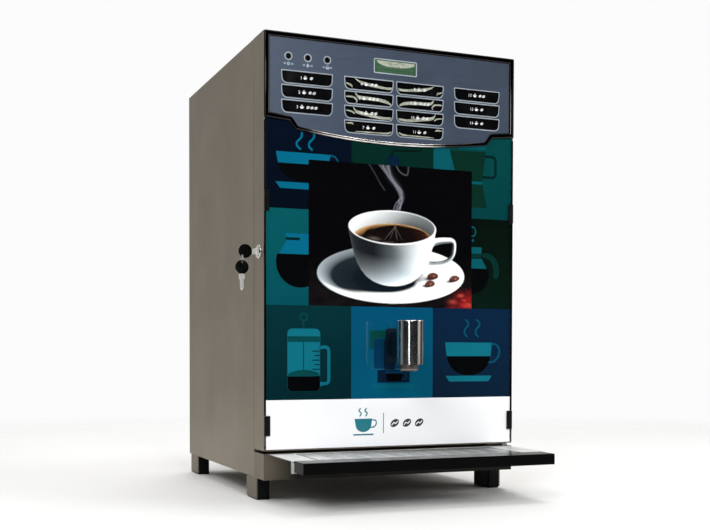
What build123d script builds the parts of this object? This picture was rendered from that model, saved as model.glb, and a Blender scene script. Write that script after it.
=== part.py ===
"""Table-top hot drinks vending machine: folded steel cabinet on four short legs, a hinged door with a
dark glass front, drink keys and a chromed spout, a slide-out drip tray on a front shelf, and the
powder canisters, mixing bowls, boiler and pump inside.

Frame: X to the right, Y from the door into the cabinet, Z up. The origin is the middle of the front
edge of the cabinet's flat underside, in the plane of the door's front. Millimetres.
"""

import os

from build123d import *

os.makedirs("parts", exist_ok=True)

# ---------------------------------------------------------------- driving dimensions
WIDTH = 400.0
DEPTH = 440.0  # door front to the rear edge of the side panels
HEIGHT = 630.0  # without feet
SHEET = 1.2
OUTER_X = WIDTH / 2
INNER_X = OUTER_X - SHEET
SIDES = (-1, 1)  # left, right

# Cabinet
CABINET_Y = 47.5  # front edge of the side panels
PLINTH_TOP = 37.0
FOOT_HEIGHT = 32.0
LEG_Y = (35.0, 379.0)  # front edges of the legs
LEG_LENGTH = 49.0
LEG_PLATE = 1.5
BACK_Y = 438.0  # front face of the back panel
BACK_REAR = BACK_Y + SHEET
FRAME_Y = 47.6
FRAME_SHEET = 1.5
FRAME_REAR = FRAME_Y + FRAME_SHEET
FRAME_BOTTOM, FRAME_TOP = 37.2, 626.3

REAR_SCREW_X = 192.0
REAR_SCREW_Z = (60.0, 240.0, 430.0, 600.0)
WATER_INLET_X, POWER_INLET_X, INLET_Z = 60.0, 140.0, 60.0

# Door, glass and hinge
DOOR_BOTTOM = 41.3
DOOR_DEPTH = 46.0
DOOR_FOLD_Z = 622.5  # underside of the fold below the door's top edge
GLASS_FRONT, GLASS_REAR = 0.2, 4.2
GLASS_EDGE_X = 198.5
DOOR_SHEET_REAR = GLASS_REAR + SHEET  # the front sheet lies right behind the glass
HINGE_AXIS = HINGE_X, HINGE_Y = 192.0, 10.0
HINGE_PIN_R = 3.0
HINGE_EYE_R = 6.0
RUN_GAP = 0.05

# Lock
LOCK_AXIS = LOCK_Y, LOCK_Z = 17.0, 323.0
STRIKE_R = 34.0  # distance from the lock axis to the striker pin
PLUG_TIP_R = 4.5

# Keys and round buttons
KEY_W, KEY_H = 74.5, 15.5
KEY_COLUMNS = ((-136.1, 3), (-40.9, 4), (40.9, 4), (136.1, 3))  # x, number of keys
KEY_ROWS = (568.3, 547.8, 527.1, 506.1)
KEYS = [(x, z) for x, count in KEY_COLUMNS for z in KEY_ROWS[:count]]
ROUND_Z = 597.1
ROUND_BUTTONS = [(x, ROUND_Z) for x in (-164.2, -135.3, -105.8)]

# Spout
SPOUT_Y = -57.0
SPOUT_R = 19.5
NOZZLE_Y = -52.0
DUCT_Z = 200.0

# Canisters, mixing bowls and the shelf that carries them
CANISTER_X = (-122.0, 0.0, 122.0)
AUGER_Z = 408.0
SHELF_TOP = 389.5
SHELF_PLATE = 1.4  # thickness of the shelf's apron and upstand
APRON_Y, UPSTAND_Y = 112.0, 360.0
APRON_REAR, UPSTAND_REAR = APRON_Y + SHELF_PLATE, UPSTAND_Y + SHELF_PLATE
BOWL_X = ((CANISTER_X[0] + CANISTER_X[1]) / 2, CANISTER_X[2])
BOWL_Y = 90.0
BOWL_WIDTHS = (156.0, 70.0)
BOWL_STUB_X, BOWL_STUB_Z = (-90.0, 138.0), 370.0  # water stubs of the bowls
WHIP_Z = 317.0

# Boiler
BOILER_X, BOILER_Y = -120.0, 330.0
VALVE_X = (BOILER_X - 20, BOILER_X + 20)
VALVE_Y = 305.0


# ---------------------------------------------------------------- small helpers
def slab(x0, x1, y0, y1, z0, z1, mode=Mode.ADD):
    """A block between two corners; x0 and x1 may come in either order."""
    with Locations(((x0 + x1) / 2, (y0 + y1) / 2, (z0 + z1) / 2)):
        Box(abs(x1 - x0), y1 - y0, z1 - z0, mode=mode)


def rod_x(x0, x1, y, z, r, mode=Mode.ADD):
    """A round bar along X."""
    with Locations(Location(((x0 + x1) / 2, y, z), (0, 90, 0))):
        Cylinder(r, x1 - x0, mode=mode)


def rod_y(y0, y1, x, z, r, mode=Mode.ADD):
    """A round bar along Y."""
    with Locations(Location((x, (y0 + y1) / 2, z), (90, 0, 0))):
        Cylinder(r, y1 - y0, mode=mode)


def rod_z(z0, z1, x, y, r, mode=Mode.ADD):
    """A round bar along Z."""
    with Locations((x, y, (z0 + z1) / 2)):
        Cylinder(r, z1 - z0, mode=mode)


def side_flanges(outer_x, y0, y1, z0, z1):
    """An upright sheet strip at the left and right, with its outer face at outer_x."""
    for side in SIDES:
        slab(side * (outer_x - SHEET), side * outer_x, y0, y1, z0, z1)


def facing(y):
    """The plane across the machine at depth y; it extrudes backwards with a negative amount."""
    return Plane.XZ.offset(-y)


def save(builder, name):
    builder.part.label = name
    export_step(builder.part, "parts/" + name + ".step")


# ================================================================ CABINET
# Side panels: a flat skin with an inward flange at the back for the rear screws.
for side, panel_name in zip(SIDES, ("left_side_panel", "right_side_panel")):
    with BuildPart() as side_panel:
        slab(side * INNER_X, side * OUTER_X, CABINET_Y, DEPTH, 0, HEIGHT)
        slab(side * (OUTER_X - 16), side * INNER_X, 436.6, 437.8, 22, 612)
        for z in REAR_SCREW_Z:
            rod_y(430, 440, side * REAR_SCREW_X, z, 1.6, Mode.SUBTRACT)
    save(side_panel, panel_name)

# Back panel with cooling slots and openings for the power and water fittings.
SLOT_FIELDS = (((0, 545), 4, 6), ((90, 150), 2, 5))  # centre, columns, rows
with BuildPart() as back_panel:
    with BuildSketch(facing(BACK_Y)):
        with Locations((0, 314.5)):
            Rectangle(397.2, 626.6)
        for centre, columns, rows in SLOT_FIELDS:
            with Locations(centre):
                with GridLocations(84, 12, columns, rows):
                    SlotOverall(66, 4.5, mode=Mode.SUBTRACT)
        with Locations((WATER_INLET_X, INLET_Z)):
            Circle(9.0, mode=Mode.SUBTRACT)
        with Locations((POWER_INLET_X, INLET_Z)):
            Rectangle(28.4, 22.4, mode=Mode.SUBTRACT)
        for z in REAR_SCREW_Z:
            with Locations((-REAR_SCREW_X, z), (REAR_SCREW_X, z)):
                Circle(1.6, mode=Mode.SUBTRACT)
    extrude(amount=-SHEET)
save(back_panel, "back_panel")

# Top cover dropped between the side panels, with side and rear flanges turned down.
COVER_Z = HEIGHT - SHEET
with BuildPart() as top_cover:
    slab(-198.6, 198.6, CABINET_Y, 437.9, COVER_Z, HEIGHT)
    side_flanges(198.4, 80, 430, 615, COVER_Z)
    slab(-190, 190, 435.2, 436.4, 615, COVER_Z)
save(top_cover, "top_cover")

# Base: plinth box under the door, flat pan behind it and four L-shaped leg brackets welded below.
PAN_Y = CABINET_Y - 0.3
with BuildPart() as base_plinth:
    slab(-OUTER_X, OUTER_X, 0, PAN_Y, 0, PLINTH_TOP)
    slab(-INNER_X, INNER_X, SHEET, CABINET_Y, SHEET, PLINTH_TOP - SHEET, Mode.SUBTRACT)
    slab(-198.7, 198.7, PAN_Y, 437.5, 0, SHEET)
    side_flanges(198.6, 75, 430, SHEET, 21)
    slab(-180, 180, 434.8, 436.0, SHEET, 21)
    for y in LEG_Y:
        for side in SIDES:
            slab(side * 180, side * OUTER_X, y, y + LEG_LENGTH, -LEG_PLATE, 0)
            slab(side * (OUTER_X - LEG_PLATE), side * OUTER_X, y, y + LEG_LENGTH, -30, 0)
save(base_plinth, "base_plinth")

# Rubber blocks that stand inside the leg brackets.
with BuildPart() as rubber_feet:
    for y in LEG_Y:
        for side in SIDES:
            with BuildSketch(Plane.XY.offset(-FOOT_HEIGHT)):
                with Locations((side * 189.25, y + LEG_LENGTH / 2)):
                    RectangleRounded(18.5, LEG_LENGTH, 2.0)
            extrude(amount=FOOT_HEIGHT - LEG_PLATE)
save(rubber_feet, "rubber_feet")

# Front frame of the cabinet opening, with its striker pin for the lock's hook.
with BuildPart() as front_frame:
    with BuildSketch(facing(FRAME_Y)):
        with Locations((0, (FRAME_BOTTOM + FRAME_TOP) / 2)):
            Rectangle(397.4, FRAME_TOP - FRAME_BOTTOM)
        with Locations((0, 334)):
            RectangleRounded(368, 544, 10, mode=Mode.SUBTRACT)
    extrude(amount=-FRAME_SHEET)
    side_flanges(198.6, FRAME_REAR, 72, 60, 612)
    slab(-186, 198.6, FRAME_REAR, 72, FRAME_TOP - SHEET, FRAME_TOP)
    # striker bracket and pin
    slab(-186.5, -183.0, FRAME_REAR, 60, LOCK_Z - 10, LOCK_Z + 10)
    rod_x(-183.5, -175.0, LOCK_Y + STRIKE_R, LOCK_Z, 3.0)
save(front_frame, "front_frame")


# Hinge plates with pins: the upper one reaches over the door, the lower one stands on the plinth.
def hinge_outline(arm_y, tab_x, tab_y, rear_y):
    """An arm with a round front end on the hinge axis that widens inwards to a tab at the back."""
    left, right = HINGE_X - HINGE_EYE_R, HINGE_X + HINGE_EYE_R
    Polyline(
        (left, HINGE_Y), (left, arm_y), (tab_x, tab_y), (tab_x, rear_y),
        (right, rear_y), (right, HINGE_Y),
    )
    ThreePointArc((right, HINGE_Y), (HINGE_X, HINGE_Y - HINGE_EYE_R), (left, HINGE_Y))


HINGE_PLATE = 2.0
with BuildPart() as hinge_plates:
    with BuildSketch(Plane.XY.offset(FRAME_TOP)):
        with BuildLine():
            hinge_outline(arm_y=52, tab_x=170, tab_y=56, rear_y=70)
        make_face()
    extrude(amount=HINGE_PLATE)
    rod_z(611, 627, *HINGE_AXIS, HINGE_PIN_R)
    with BuildSketch(Plane.XY.offset(PLINTH_TOP)):
        with BuildLine():
            hinge_outline(arm_y=20, tab_x=172, tab_y=26, rear_y=44)
        make_face()
    extrude(amount=HINGE_PLATE)
    # collar under the door, then the lower pin
    rod_z(38, 41.2, *HINGE_AXIS, 5.0)
    rod_z(40, 54, *HINGE_AXIS, HINGE_PIN_R)
save(hinge_plates, "hinge_plates")

# Shelf under the canisters: its rear upstand carries the auger motors, its front apron the whippers.
with BuildPart() as canister_shelf:
    slab(-198.4, 198.4, APRON_Y, 436, SHELF_TOP - SHEET, SHELF_TOP)
    side_flanges(198.4, APRON_Y, 430, 366, SHELF_TOP)
    slab(-183, 183, APRON_Y, APRON_REAR, 285, SHELF_TOP)
    slab(-183, 183, UPSTAND_Y, UPSTAND_REAR, 389, 452)
    for x in CANISTER_X:
        rod_y(355, 365, x, AUGER_Z, 5.0, Mode.SUBTRACT)
    for x in BOWL_X:
        rod_y(108, 118, x, WHIP_Z, 7.0, Mode.SUBTRACT)
    for x in BOWL_STUB_X:
        rod_y(108, 118, x, BOWL_STUB_Z, 4.6, Mode.SUBTRACT)
save(canister_shelf, "canister_shelf")


# Powder canisters: a box that narrows to a round trough, with a dosing tube at the front.
def trough_outline(x, half_width, top_z, slope_z, trough_r):
    """Upright walls down to slope_z, then slopes into a trough round the auger axis."""
    Polyline((x - half_width, top_z), (x - half_width, slope_z), (x - trough_r, AUGER_Z))
    ThreePointArc((x - trough_r, AUGER_Z), (x, AUGER_Z - trough_r), (x + trough_r, AUGER_Z))
    Polyline(
        (x + trough_r, AUGER_Z), (x + half_width, slope_z),
        (x + half_width, top_z), (x - half_width, top_z),
    )


CANISTER_TOP = 590.0
CANISTER_HALF_W = 56.0
CANISTER_Y, CANISTER_LENGTH = 116.0, 236.0
CANISTER_WALL = 2.5
TUBE_R = 17.0
TUBE_BORE_R = TUBE_R - CANISTER_WALL
with BuildPart() as canisters:
    for x in CANISTER_X:
        with BuildSketch(facing(CANISTER_Y)):
            with BuildLine():
                trough_outline(x, CANISTER_HALF_W, CANISTER_TOP, 470, TUBE_R)
            make_face()
        extrude(amount=-CANISTER_LENGTH)
    for x in CANISTER_X:
        with BuildSketch(facing(CANISTER_Y + CANISTER_WALL)):
            with BuildLine():
                trough_outline(
                    x, CANISTER_HALF_W - CANISTER_WALL, CANISTER_TOP + 10, 471, TUBE_BORE_R
                )
            make_face()
        extrude(amount=-(CANISTER_LENGTH - 2 * CANISTER_WALL), mode=Mode.SUBTRACT)
    for x in CANISTER_X:
        rod_y(82, 117, x, AUGER_Z, TUBE_R)
        rod_y(84.5, 119, x, AUGER_Z, TUBE_BORE_R, Mode.SUBTRACT)
        # bearing hole for the auger shaft in the rear wall
        rod_y(340, 356, x, AUGER_Z, 3.55, Mode.SUBTRACT)
        # outlet below the end of the tube
        rod_z(385, 404, x, 95, 9.0, Mode.SUBTRACT)
        # foot that stands on the shelf
        slab(x - 10, x + 10, 120, 340, SHELF_TOP, 391.6)
save(canisters, "canisters")

# Canister lids: a plate with a rim that plugs the canister and a slot-shaped grip on top.
LID_Y = CANISTER_Y + CANISTER_LENGTH / 2
LID_PLATE = 3.5
with BuildPart() as canister_lids:
    for x in CANISTER_X:
        with BuildSketch(Plane.XY.offset(CANISTER_TOP)):
            with Locations((x, LID_Y)):
                RectangleRounded(116, 240, 6)
        extrude(amount=LID_PLATE)
        slab(x - 53.2, x + 53.2, 119, 349, 584, 590.2)
        slab(x - 50.7, x + 50.7, 121.5, 346.5, 583, CANISTER_TOP, Mode.SUBTRACT)
        with BuildSketch(Plane.XY.offset(CANISTER_TOP + LID_PLATE)):
            with Locations((x, LID_Y)):
                SlotOverall(60, 12)
        extrude(amount=7)
save(canister_lids, "canister_lids")

# Dosing augers: a screw flight on a shaft that runs in the canister's rear wall.
AUGER_SHAFT_R = 3.5
with BuildPart() as auger_blank:
    with BuildLine() as flight_path:
        Helix(pitch=20, height=240, radius=8)
    flight = flight_path.line
    with BuildSketch(Plane(origin=flight @ 0, z_dir=flight % 0, x_dir=(0, 0, 1))):
        Rectangle(1.8, 10)
    sweep(is_frenet=True)
    with Locations((0, 0, -24)):
        Cylinder(AUGER_SHAFT_R, 271, align=(Align.CENTER, Align.CENTER, Align.MIN))

for x, auger_name in zip(CANISTER_X, ("auger_left", "auger_middle", "auger_right")):
    with BuildPart() as auger:
        # the blank stands along Z; here it is laid down to point forwards
        with Locations(Location((x, 333, AUGER_Z), (90, 0, 0))):
            add(auger_blank.part)
    save(auger, auger_name)

# Gear motors for the augers behind the shelf's upstand and whipper motors behind its apron.
WHIP_SHAFT_R = 2.5
AUGER_MOTOR_Z = AUGER_Z + 6
with BuildPart() as drive_motors:
    for x in CANISTER_X:
        slab(x - 24, x + 24, UPSTAND_REAR, 382, AUGER_Z - 18.5, AUGER_Z + 32)
        rod_y(357.2, 363, x, AUGER_Z, AUGER_SHAFT_R)
        rod_y(382, 418, x, AUGER_MOTOR_Z, 18.0)
        rod_y(418, 422, x, AUGER_MOTOR_Z, 9.0)
    for x in BOWL_X:
        rod_y(APRON_REAR, 116, x, WHIP_Z, 21.0)
        rod_y(116, 158, x, WHIP_Z, 17.0)
        rod_y(158, 162, x, WHIP_Z, 8.0)
        rod_y(112.6, 116, x, WHIP_Z, WHIP_SHAFT_R)
save(drive_motors, "drive_motors")

# Mixing bowls: open hopper, whipping chamber, bearing boss at the back and outlet stub below.
HOPPER_Y = 88.0
HOPPER_TOP, HOPPER_BOTTOM = 384.0, 336.0
CHAMBER_R, CHAMBER_BORE_R = 20.0, 17.6
with BuildPart() as mixing_bowls:
    for x, width in zip(BOWL_X, BOWL_WIDTHS):
        with BuildSketch(Plane.XY.offset(HOPPER_TOP)):
            with Locations((x, HOPPER_Y)):
                RectangleRounded(width, 44, 8)
        with BuildSketch(Plane.XY.offset(HOPPER_BOTTOM)):
            with Locations((x, BOWL_Y)):
                RectangleRounded(38, 38, 18)
        loft()
        rod_z(302, 337, x, BOWL_Y, CHAMBER_R)
        rod_y(BOWL_Y, APRON_Y, x, WHIP_Z, 6.5)
        with Locations((x, BOWL_Y, 295)):
            Cone(8, CHAMBER_R, 15)
        rod_z(272, 292, x, BOWL_Y, 5.0)
        slab(x - 16, x + 16, 106, APRON_Y, 345, HOPPER_TOP)
    for x in BOWL_STUB_X:
        rod_y(104, 128, x, BOWL_STUB_Z, 3.0)
    # the cavities
    for x, width in zip(BOWL_X, BOWL_WIDTHS):
        with BuildSketch(Plane.XY.offset(HOPPER_TOP + 2)):
            with Locations((x, HOPPER_Y)):
                RectangleRounded(width - 1, 42, 7)
        with BuildSketch(Plane.XY.offset(HOPPER_BOTTOM)):
            with Locations((x, BOWL_Y)):
                RectangleRounded(33, 33, 15)
        loft(mode=Mode.SUBTRACT)
        rod_z(303, 340, x, BOWL_Y, CHAMBER_BORE_R, Mode.SUBTRACT)
        with Locations((x, BOWL_Y, 297)):
            Cone(6, CHAMBER_BORE_R, 14, mode=Mode.SUBTRACT)
        rod_z(270, 296, x, BOWL_Y, 3.5, Mode.SUBTRACT)
        rod_y(100, 114, x, WHIP_Z, WHIP_SHAFT_R + RUN_GAP, Mode.SUBTRACT)
    for x in BOWL_STUB_X:
        rod_y(100, 130, x, BOWL_STUB_Z, 1.8, Mode.SUBTRACT)
save(mixing_bowls, "mixing_bowls")

# Whippers: shaft with a disc and four blades.
BLADE_R, BLADE_HALF_T = 11.5, 0.8
for x, whipper_name in zip(BOWL_X, ("whipper_left", "whipper_right")):
    with BuildPart() as whipper:
        rod_y(78, 112.4, x, WHIP_Z, WHIP_SHAFT_R)
        rod_y(86, 88, x, WHIP_Z, 12.5)
        for half_w, half_h in ((BLADE_R, BLADE_HALF_T), (BLADE_HALF_T, BLADE_R)):
            slab(x - half_w, x + half_w, 79, 86, WHIP_Z - half_h, WHIP_Z + half_h)
    save(whipper, whipper_name)

# Boiler: drawn vessel on a ring foot with a water stub at the side and an element cap on top.
with BuildPart() as boiler:
    rod_z(14, 250, BOILER_X, BOILER_Y, 52)
    fillet(boiler.edges().filter_by(GeomType.CIRCLE), 12)
    rod_z(SHEET, 20, BOILER_X, BOILER_Y, 36.0)
    rod_z(0, 12, BOILER_X, BOILER_Y, 33.0, Mode.SUBTRACT)
    rod_z(249, 253, BOILER_X, 345, 20.0)
    rod_z(253, 262, BOILER_X, 345, 9.0)
    rod_x(-70, -56, BOILER_Y, 60, 4.0)
    for x in VALVE_X:
        rod_z(248, 252, x, VALVE_Y, 11.0)
save(boiler, "boiler")

# Outlet valves on the boiler: body, coil and a hose stub to the front.
with BuildPart() as solenoid_valves:
    for x in VALVE_X:
        slab(x - 9, x + 9, VALVE_Y - 9, VALVE_Y + 9, 252, 270)
        rod_z(270, 294, x, VALVE_Y, 9.0)
        rod_z(294, 298, x, VALVE_Y, 4.0)
        rod_y(280, 298, x, 261, 3.0)
        slab(x - 3, x + 3, 313, 318, 274, 290)
save(solenoid_valves, "solenoid_valves")

# Water pump: foot plate, body, round motor to the right, stubs to the left and the back.
with BuildPart() as water_pump:
    slab(36, 84, 318, 362, SHEET, 6)
    slab(42, 78, 322, 358, 6, 50)
    rod_x(78, 122, 340, 30, 17.0)
    rod_x(24, 44, 340, 32, 4.0)
    rod_y(356, 374, 60, 32, 4.0)
save(water_pump, "water_pump")

# Power supply: a box with slots in its top.
with BuildPart() as power_supply:
    slab(20, 172, 130, 250, SHEET, 52)
    with BuildSketch(Plane.XY.offset(48)):
        with Locations((96, 190)):
            with GridLocations(0, 10, 1, 8):
                SlotOverall(110, 4)
    extrude(amount=6, mode=Mode.SUBTRACT)
save(power_supply, "power_supply")

# Hoses: two drink hoses end above the door's funnel, the others carry water.
DRINK_HOSE = (5.05, 6.6)  # inner and outer radius
OUTLET_HOSE = (3.05, 4.5)
SUPPLY_HOSE = (4.05, 6.0)
# first end, direction there, points between, direction at the far end, far end,
# straight length at the first end and at the far end, radii
HOSES = (
    ((-61, 90, 284), (0, 0, -1), ((-52, 75, 256),),
     (0.6, -0.75, -0.45), (-13, 30, 241), 12, 2, DRINK_HOSE),
    ((122, 90, 284), (0, 0, -1), ((108, 78, 256),),
     (-0.85, -0.42, -0.25), (15, 33, 241), 12, 2, DRINK_HOSE),
    ((-140, 294, 261), (0, -1, 0), ((-128, 200, 315),),
     (0, -1, 0), (-90, 116, 370), 16, 14, OUTLET_HOSE),
    ((-100, 294, 261), (0, -1, 0), ((10, 205, 322),),
     (0, -1, 0), (138, 116, 370), 16, 14, OUTLET_HOSE),
    ((40, 340, 32), (-1, 0, 0), ((-14, 336, 44),),
     (-1, 0, 0), (-67.5, 330, 60), 18, 14, SUPPLY_HOSE),
    ((60, 360, 32), (0, 1, 0), (),
     (0, 1, 0), (60, 429, 60), 16, 13, SUPPLY_HOSE),
)
with BuildPart() as hoses:
    for start, leave, between, arrive, end, lead_in, lead_out, (inner_r, outer_r) in HOSES:
        leave, arrive = Vector(*leave).normalized(), Vector(*arrive).normalized()
        start, end = Vector(*start), Vector(*end)
        bend_start, bend_end = start + leave * lead_in, end - arrive * lead_out
        with BuildLine():
            Spline(bend_start, *[Vector(*p) for p in between], bend_end, tangents=(leave, arrive))
        with BuildSketch(Plane(origin=bend_start, z_dir=leave)):
            Circle(outer_r)
            Circle(inner_r, mode=Mode.SUBTRACT)
        sweep()
        for near, far, along in ((start, bend_start, leave), (bend_end, end, arrive)):
            with BuildSketch(Plane(origin=near, z_dir=along)):
                Circle(outer_r)
                Circle(inner_r, mode=Mode.SUBTRACT)
            extrude(amount=(far - near).length)
save(hoses, "hoses")

# Rear fittings: appliance inlet and a push-fit water stub.
WATER_STUB = ((418, BACK_REAR, 4.0), (430, 437.9, 13.0), (437.9, 439.3, 8.8),
              (BACK_REAR, 444, 12.0), (443, 458, 4.0))  # y from, y to, radius
with BuildPart() as rear_fittings:
    slab(POWER_INLET_X - 14, POWER_INLET_X + 14, 424, BACK_REAR, 49, 71)
    slab(POWER_INLET_X - 20, POWER_INLET_X + 20, BACK_REAR, 442, 46, 74)
    slab(POWER_INLET_X - 10, POWER_INLET_X + 10, 432, 443, 53.5, 66.5, Mode.SUBTRACT)
    for x in (POWER_INLET_X - 6, POWER_INLET_X, POWER_INLET_X + 6):
        slab(x - 1, x + 1, 431, 440, 58, 62)
    for y0, y1, radius in WATER_STUB:
        rod_y(y0, y1, WATER_INLET_X, INLET_Z, radius)
    rod_y(417, 459, WATER_INLET_X, INLET_Z, 2.2, Mode.SUBTRACT)
save(rear_fittings, "rear_fittings")

# Pan-head screws of the back panel, with a cross cut in the head.
with BuildPart() as panel_screws:
    for x in (-REAR_SCREW_X, REAR_SCREW_X):
        for z in REAR_SCREW_Z:
            rod_y(434, 439.3, x, z, 1.5)
            rod_y(BACK_REAR, 441.2, x, z, 3.6)
            for half_w, half_h in ((2.4, 0.4), (0.4, 2.4)):
                slab(x - half_w, x + half_w, 440.3, 441.4, z - half_h, z + half_h, Mode.SUBTRACT)
save(panel_screws, "panel_screws")

# Shelf in front of the plinth: two arms with rails for the drip tray.
with BuildPart() as tray_shelf:
    with BuildSketch(Plane.XY.offset(PLINTH_TOP - SHEET)):
        with Locations((0, -51)):
            Rectangle(388, 102)
        with Locations((0, -53)):
            Rectangle(314, 98, mode=Mode.SUBTRACT)
    extrude(amount=SHEET)
    slab(-160, 160, -SHEET, 0, 8, 36)
    for side in SIDES:
        slab(side * 157, side * 158.2, -100, -1.0, 24, 36)
        slab(side * 150.4, side * 158.2, -100, -1.0, 24, 25.2)
save(tray_shelf, "tray_shelf")

# ================================================================ DRIP TRAY
TRAY_RIM_Z = 35.4
BAR_HALF_W = 190.0
BAR_PROFILE = (  # y, z
    (-102, PLINTH_TOP), (-102, 22), (-104.5, 22), (-104.5, 34.4), (-135.2, 34.4),
    (-135.2, 21.7), (-138, 21.7), (-138, 36), (-137, PLINTH_TOP), (-102, PLINTH_TOP),
)
with BuildPart() as drip_tray:
    slab(-148, 148, -102, -6, 22, TRAY_RIM_Z)
    slab(-146, 146, -100, -8, 24, 40, Mode.SUBTRACT)
    for side in SIDES:
        slab(side * 148, side * 156.6, -100, -8, 25.4, 27.4)
    # hollow front bar, open below, with its ends closed
    with BuildSketch(Plane.YZ.offset(-BAR_HALF_W)):
        with BuildLine():
            Polyline(*BAR_PROFILE)
        make_face()
    extrude(amount=2 * BAR_HALF_W)
    for side in SIDES:
        slab(side * 187.5, side * BAR_HALF_W, -138, -102, 21.7, 35)
save(drip_tray, "drip_tray")

with BuildPart() as drip_grille:
    with BuildSketch(Plane.XY.offset(TRAY_RIM_Z)):
        with Locations((0, -53)):
            RectangleRounded(309, 93, 2)
            with GridLocations(30, 7.2, 9, 11):
                Rectangle(24, 3.2, mode=Mode.SUBTRACT)
    extrude(amount=PLINTH_TOP - TRAY_RIM_Z)
save(drip_grille, "drip_grille")


# ================================================================ DOOR
def curved_outline(corners, arc_z):
    """A mirrored outline closed by a sagging arc between the first corners, lowest at arc_z."""
    Polyline(*[(-x, z) for x, z in corners], *reversed(corners))
    x, z = corners[0]
    ThreePointArc((x, z), (0, arc_z), (-x, z))


# Right-hand corners (x, z), from the end of the arc outwards, and the arc's middle height.
FASCIA = (((150, 499.5), (160, 513), (192.3, 516.5), (192.3, 622.4)), 488.4)
BEZEL = (((152, 495), (162, 506.5), (OUTER_X, 509.5), (OUTER_X, HEIGHT)), 483.7)
GLASS = (((151, 497.2), (161, 509.8), (GLASS_EDGE_X, 512), (GLASS_EDGE_X, 43)), 486)

with BuildPart() as door_shell:
    # pan with its front set back behind the glass
    slab(-OUTER_X, OUTER_X, 0, DOOR_DEPTH, DOOR_BOTTOM, HEIGHT)
    for z0, z1 in ((DOOR_BOTTOM + SHEET, DOOR_FOLD_Z), (DOOR_FOLD_Z + SHEET, HEIGHT + 1)):
        slab(-INNER_X, INNER_X, DOOR_SHEET_REAR, DOOR_DEPTH + 1, z0, z1, Mode.SUBTRACT)
    # folded lips at the back
    for side in SIDES:
        slab(side * 187, side * INNER_X, 44.8, DOOR_DEPTH, DOOR_BOTTOM + SHEET, DOOR_FOLD_Z)
    slab(-INNER_X, INNER_X, 44.8, DOOR_DEPTH, DOOR_BOTTOM + SHEET, 54)
    slab(-INNER_X, INNER_X, 44.8, DOOR_DEPTH, 611, DOOR_FOLD_Z)
    # bearing bosses for the hinge pins
    rod_z(610, 622.6, *HINGE_AXIS, 6.0)
    rod_z(DOOR_BOTTOM + 0.2, 53, *HINGE_AXIS, 6.0)
    # shallow pocket for the glass and the fascia
    slab(-INNER_X, INNER_X, -1, GLASS_REAR, DOOR_BOTTOM + SHEET, HEIGHT - SHEET, Mode.SUBTRACT)
    # the upper hinge plate passes over the right flange here
    slab(INNER_X - 1, OUTER_X + 1, 1.2, DOOR_DEPTH + 1, 625, HEIGHT + 1, Mode.SUBTRACT)
    slab(178, INNER_X + 1, GLASS_REAR - 0.1, 5.5, 625, HEIGHT + 1, Mode.SUBTRACT)
    rod_z(600, 640, *HINGE_AXIS, HINGE_PIN_R + RUN_GAP, Mode.SUBTRACT)
    rod_z(30, 60, *HINGE_AXIS, HINGE_PIN_R + RUN_GAP, Mode.SUBTRACT)
    # opening behind the keys and the display
    with BuildSketch(facing(3)):
        with Locations((0, 562.5)):
            Rectangle(356, 91)
        with Locations((0, 507)):
            Rectangle(168, 22)
    extrude(amount=-4, mode=Mode.SUBTRACT)
    # drink duct and lock barrel
    rod_y(3, 7, 0, DUCT_Z, 7.0, Mode.SUBTRACT)
    rod_x(-201, -198, *LOCK_AXIS, 8.55, Mode.SUBTRACT)
save(door_shell, "door_shell")

with BuildPart() as front_glass:
    with BuildSketch(facing(GLASS_FRONT)):
        with BuildLine():
            curved_outline(*GLASS)
        make_face()
        with Locations((0, DUCT_Z)):
            Circle(8.0, mode=Mode.SUBTRACT)
    extrude(amount=-(GLASS_REAR - GLASS_FRONT))
save(front_glass, "front_glass")

# Clips that hold the glass at its edges.
UPPER_CLIP_Z = (379, 408)
LOWER_CLIP_Z = (62.7, 91)
with BuildPart() as glass_clips:
    for clip_x, clip_z in ((192.6, UPPER_CLIP_Z), (191.2, LOWER_CLIP_Z)):
        for side in SIDES:
            slab(side * clip_x, side * 199.8, -2.4, 0, *clip_z)
            slab(side * clip_x, side * GLASS_EDGE_X, -0.4, GLASS_FRONT, *clip_z)
save(glass_clips, "glass_clips")

# Thin edge mouldings down both sides of the glass, between the clips.
CLIP_GAP = 0.3
TRIM_Z = (
    (43.5, LOWER_CLIP_Z[0] - CLIP_GAP),
    (LOWER_CLIP_Z[1] + CLIP_GAP, UPPER_CLIP_Z[0] - CLIP_GAP),
    (UPPER_CLIP_Z[1] + CLIP_GAP, 505.5),
)
with BuildPart() as edge_trims:
    for z0, z1 in TRIM_Z:
        for side in SIDES:
            slab(side * 197.0, side * 199.9, -1.0, 0, z0, z1)
            slab(side * 197.0, side * 198.4, -0.2, GLASS_FRONT, z0, z1)
save(edge_trims, "edge_trims")

# Moulding round the control fascia.
BEZEL_T = 3.2
with BuildPart() as bezel_trim:
    with BuildSketch(facing(-BEZEL_T)):
        with BuildLine():
            curved_outline(*BEZEL)
        make_face()
        with BuildLine():
            curved_outline(*FASCIA)
        make_face(mode=Mode.SUBTRACT)
    extrude(amount=-BEZEL_T)
save(bezel_trim, "bezel_trim")


# Key shapes: four right-hand corners (x, z) from the key's centre, mirrored to the left.
# They are the top corner, the start of the rounded bottom corner, its middle and its end.
def key_corners(grow):
    """Corners of the key cap, widened by grow."""
    return (
        (KEY_W / 2 + grow, KEY_H / 2 + grow),
        (36.6 + grow, -1.5),
        (34.4 + grow * 0.7, -6.2 - grow * 0.7),
        (30.4, -KEY_H / 2 - grow),
    )


KEY_OPENING = ((37.55, 8.05), (36.9, -1.5), (34.6, -6.4), (30.5, -8.05))


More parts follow.
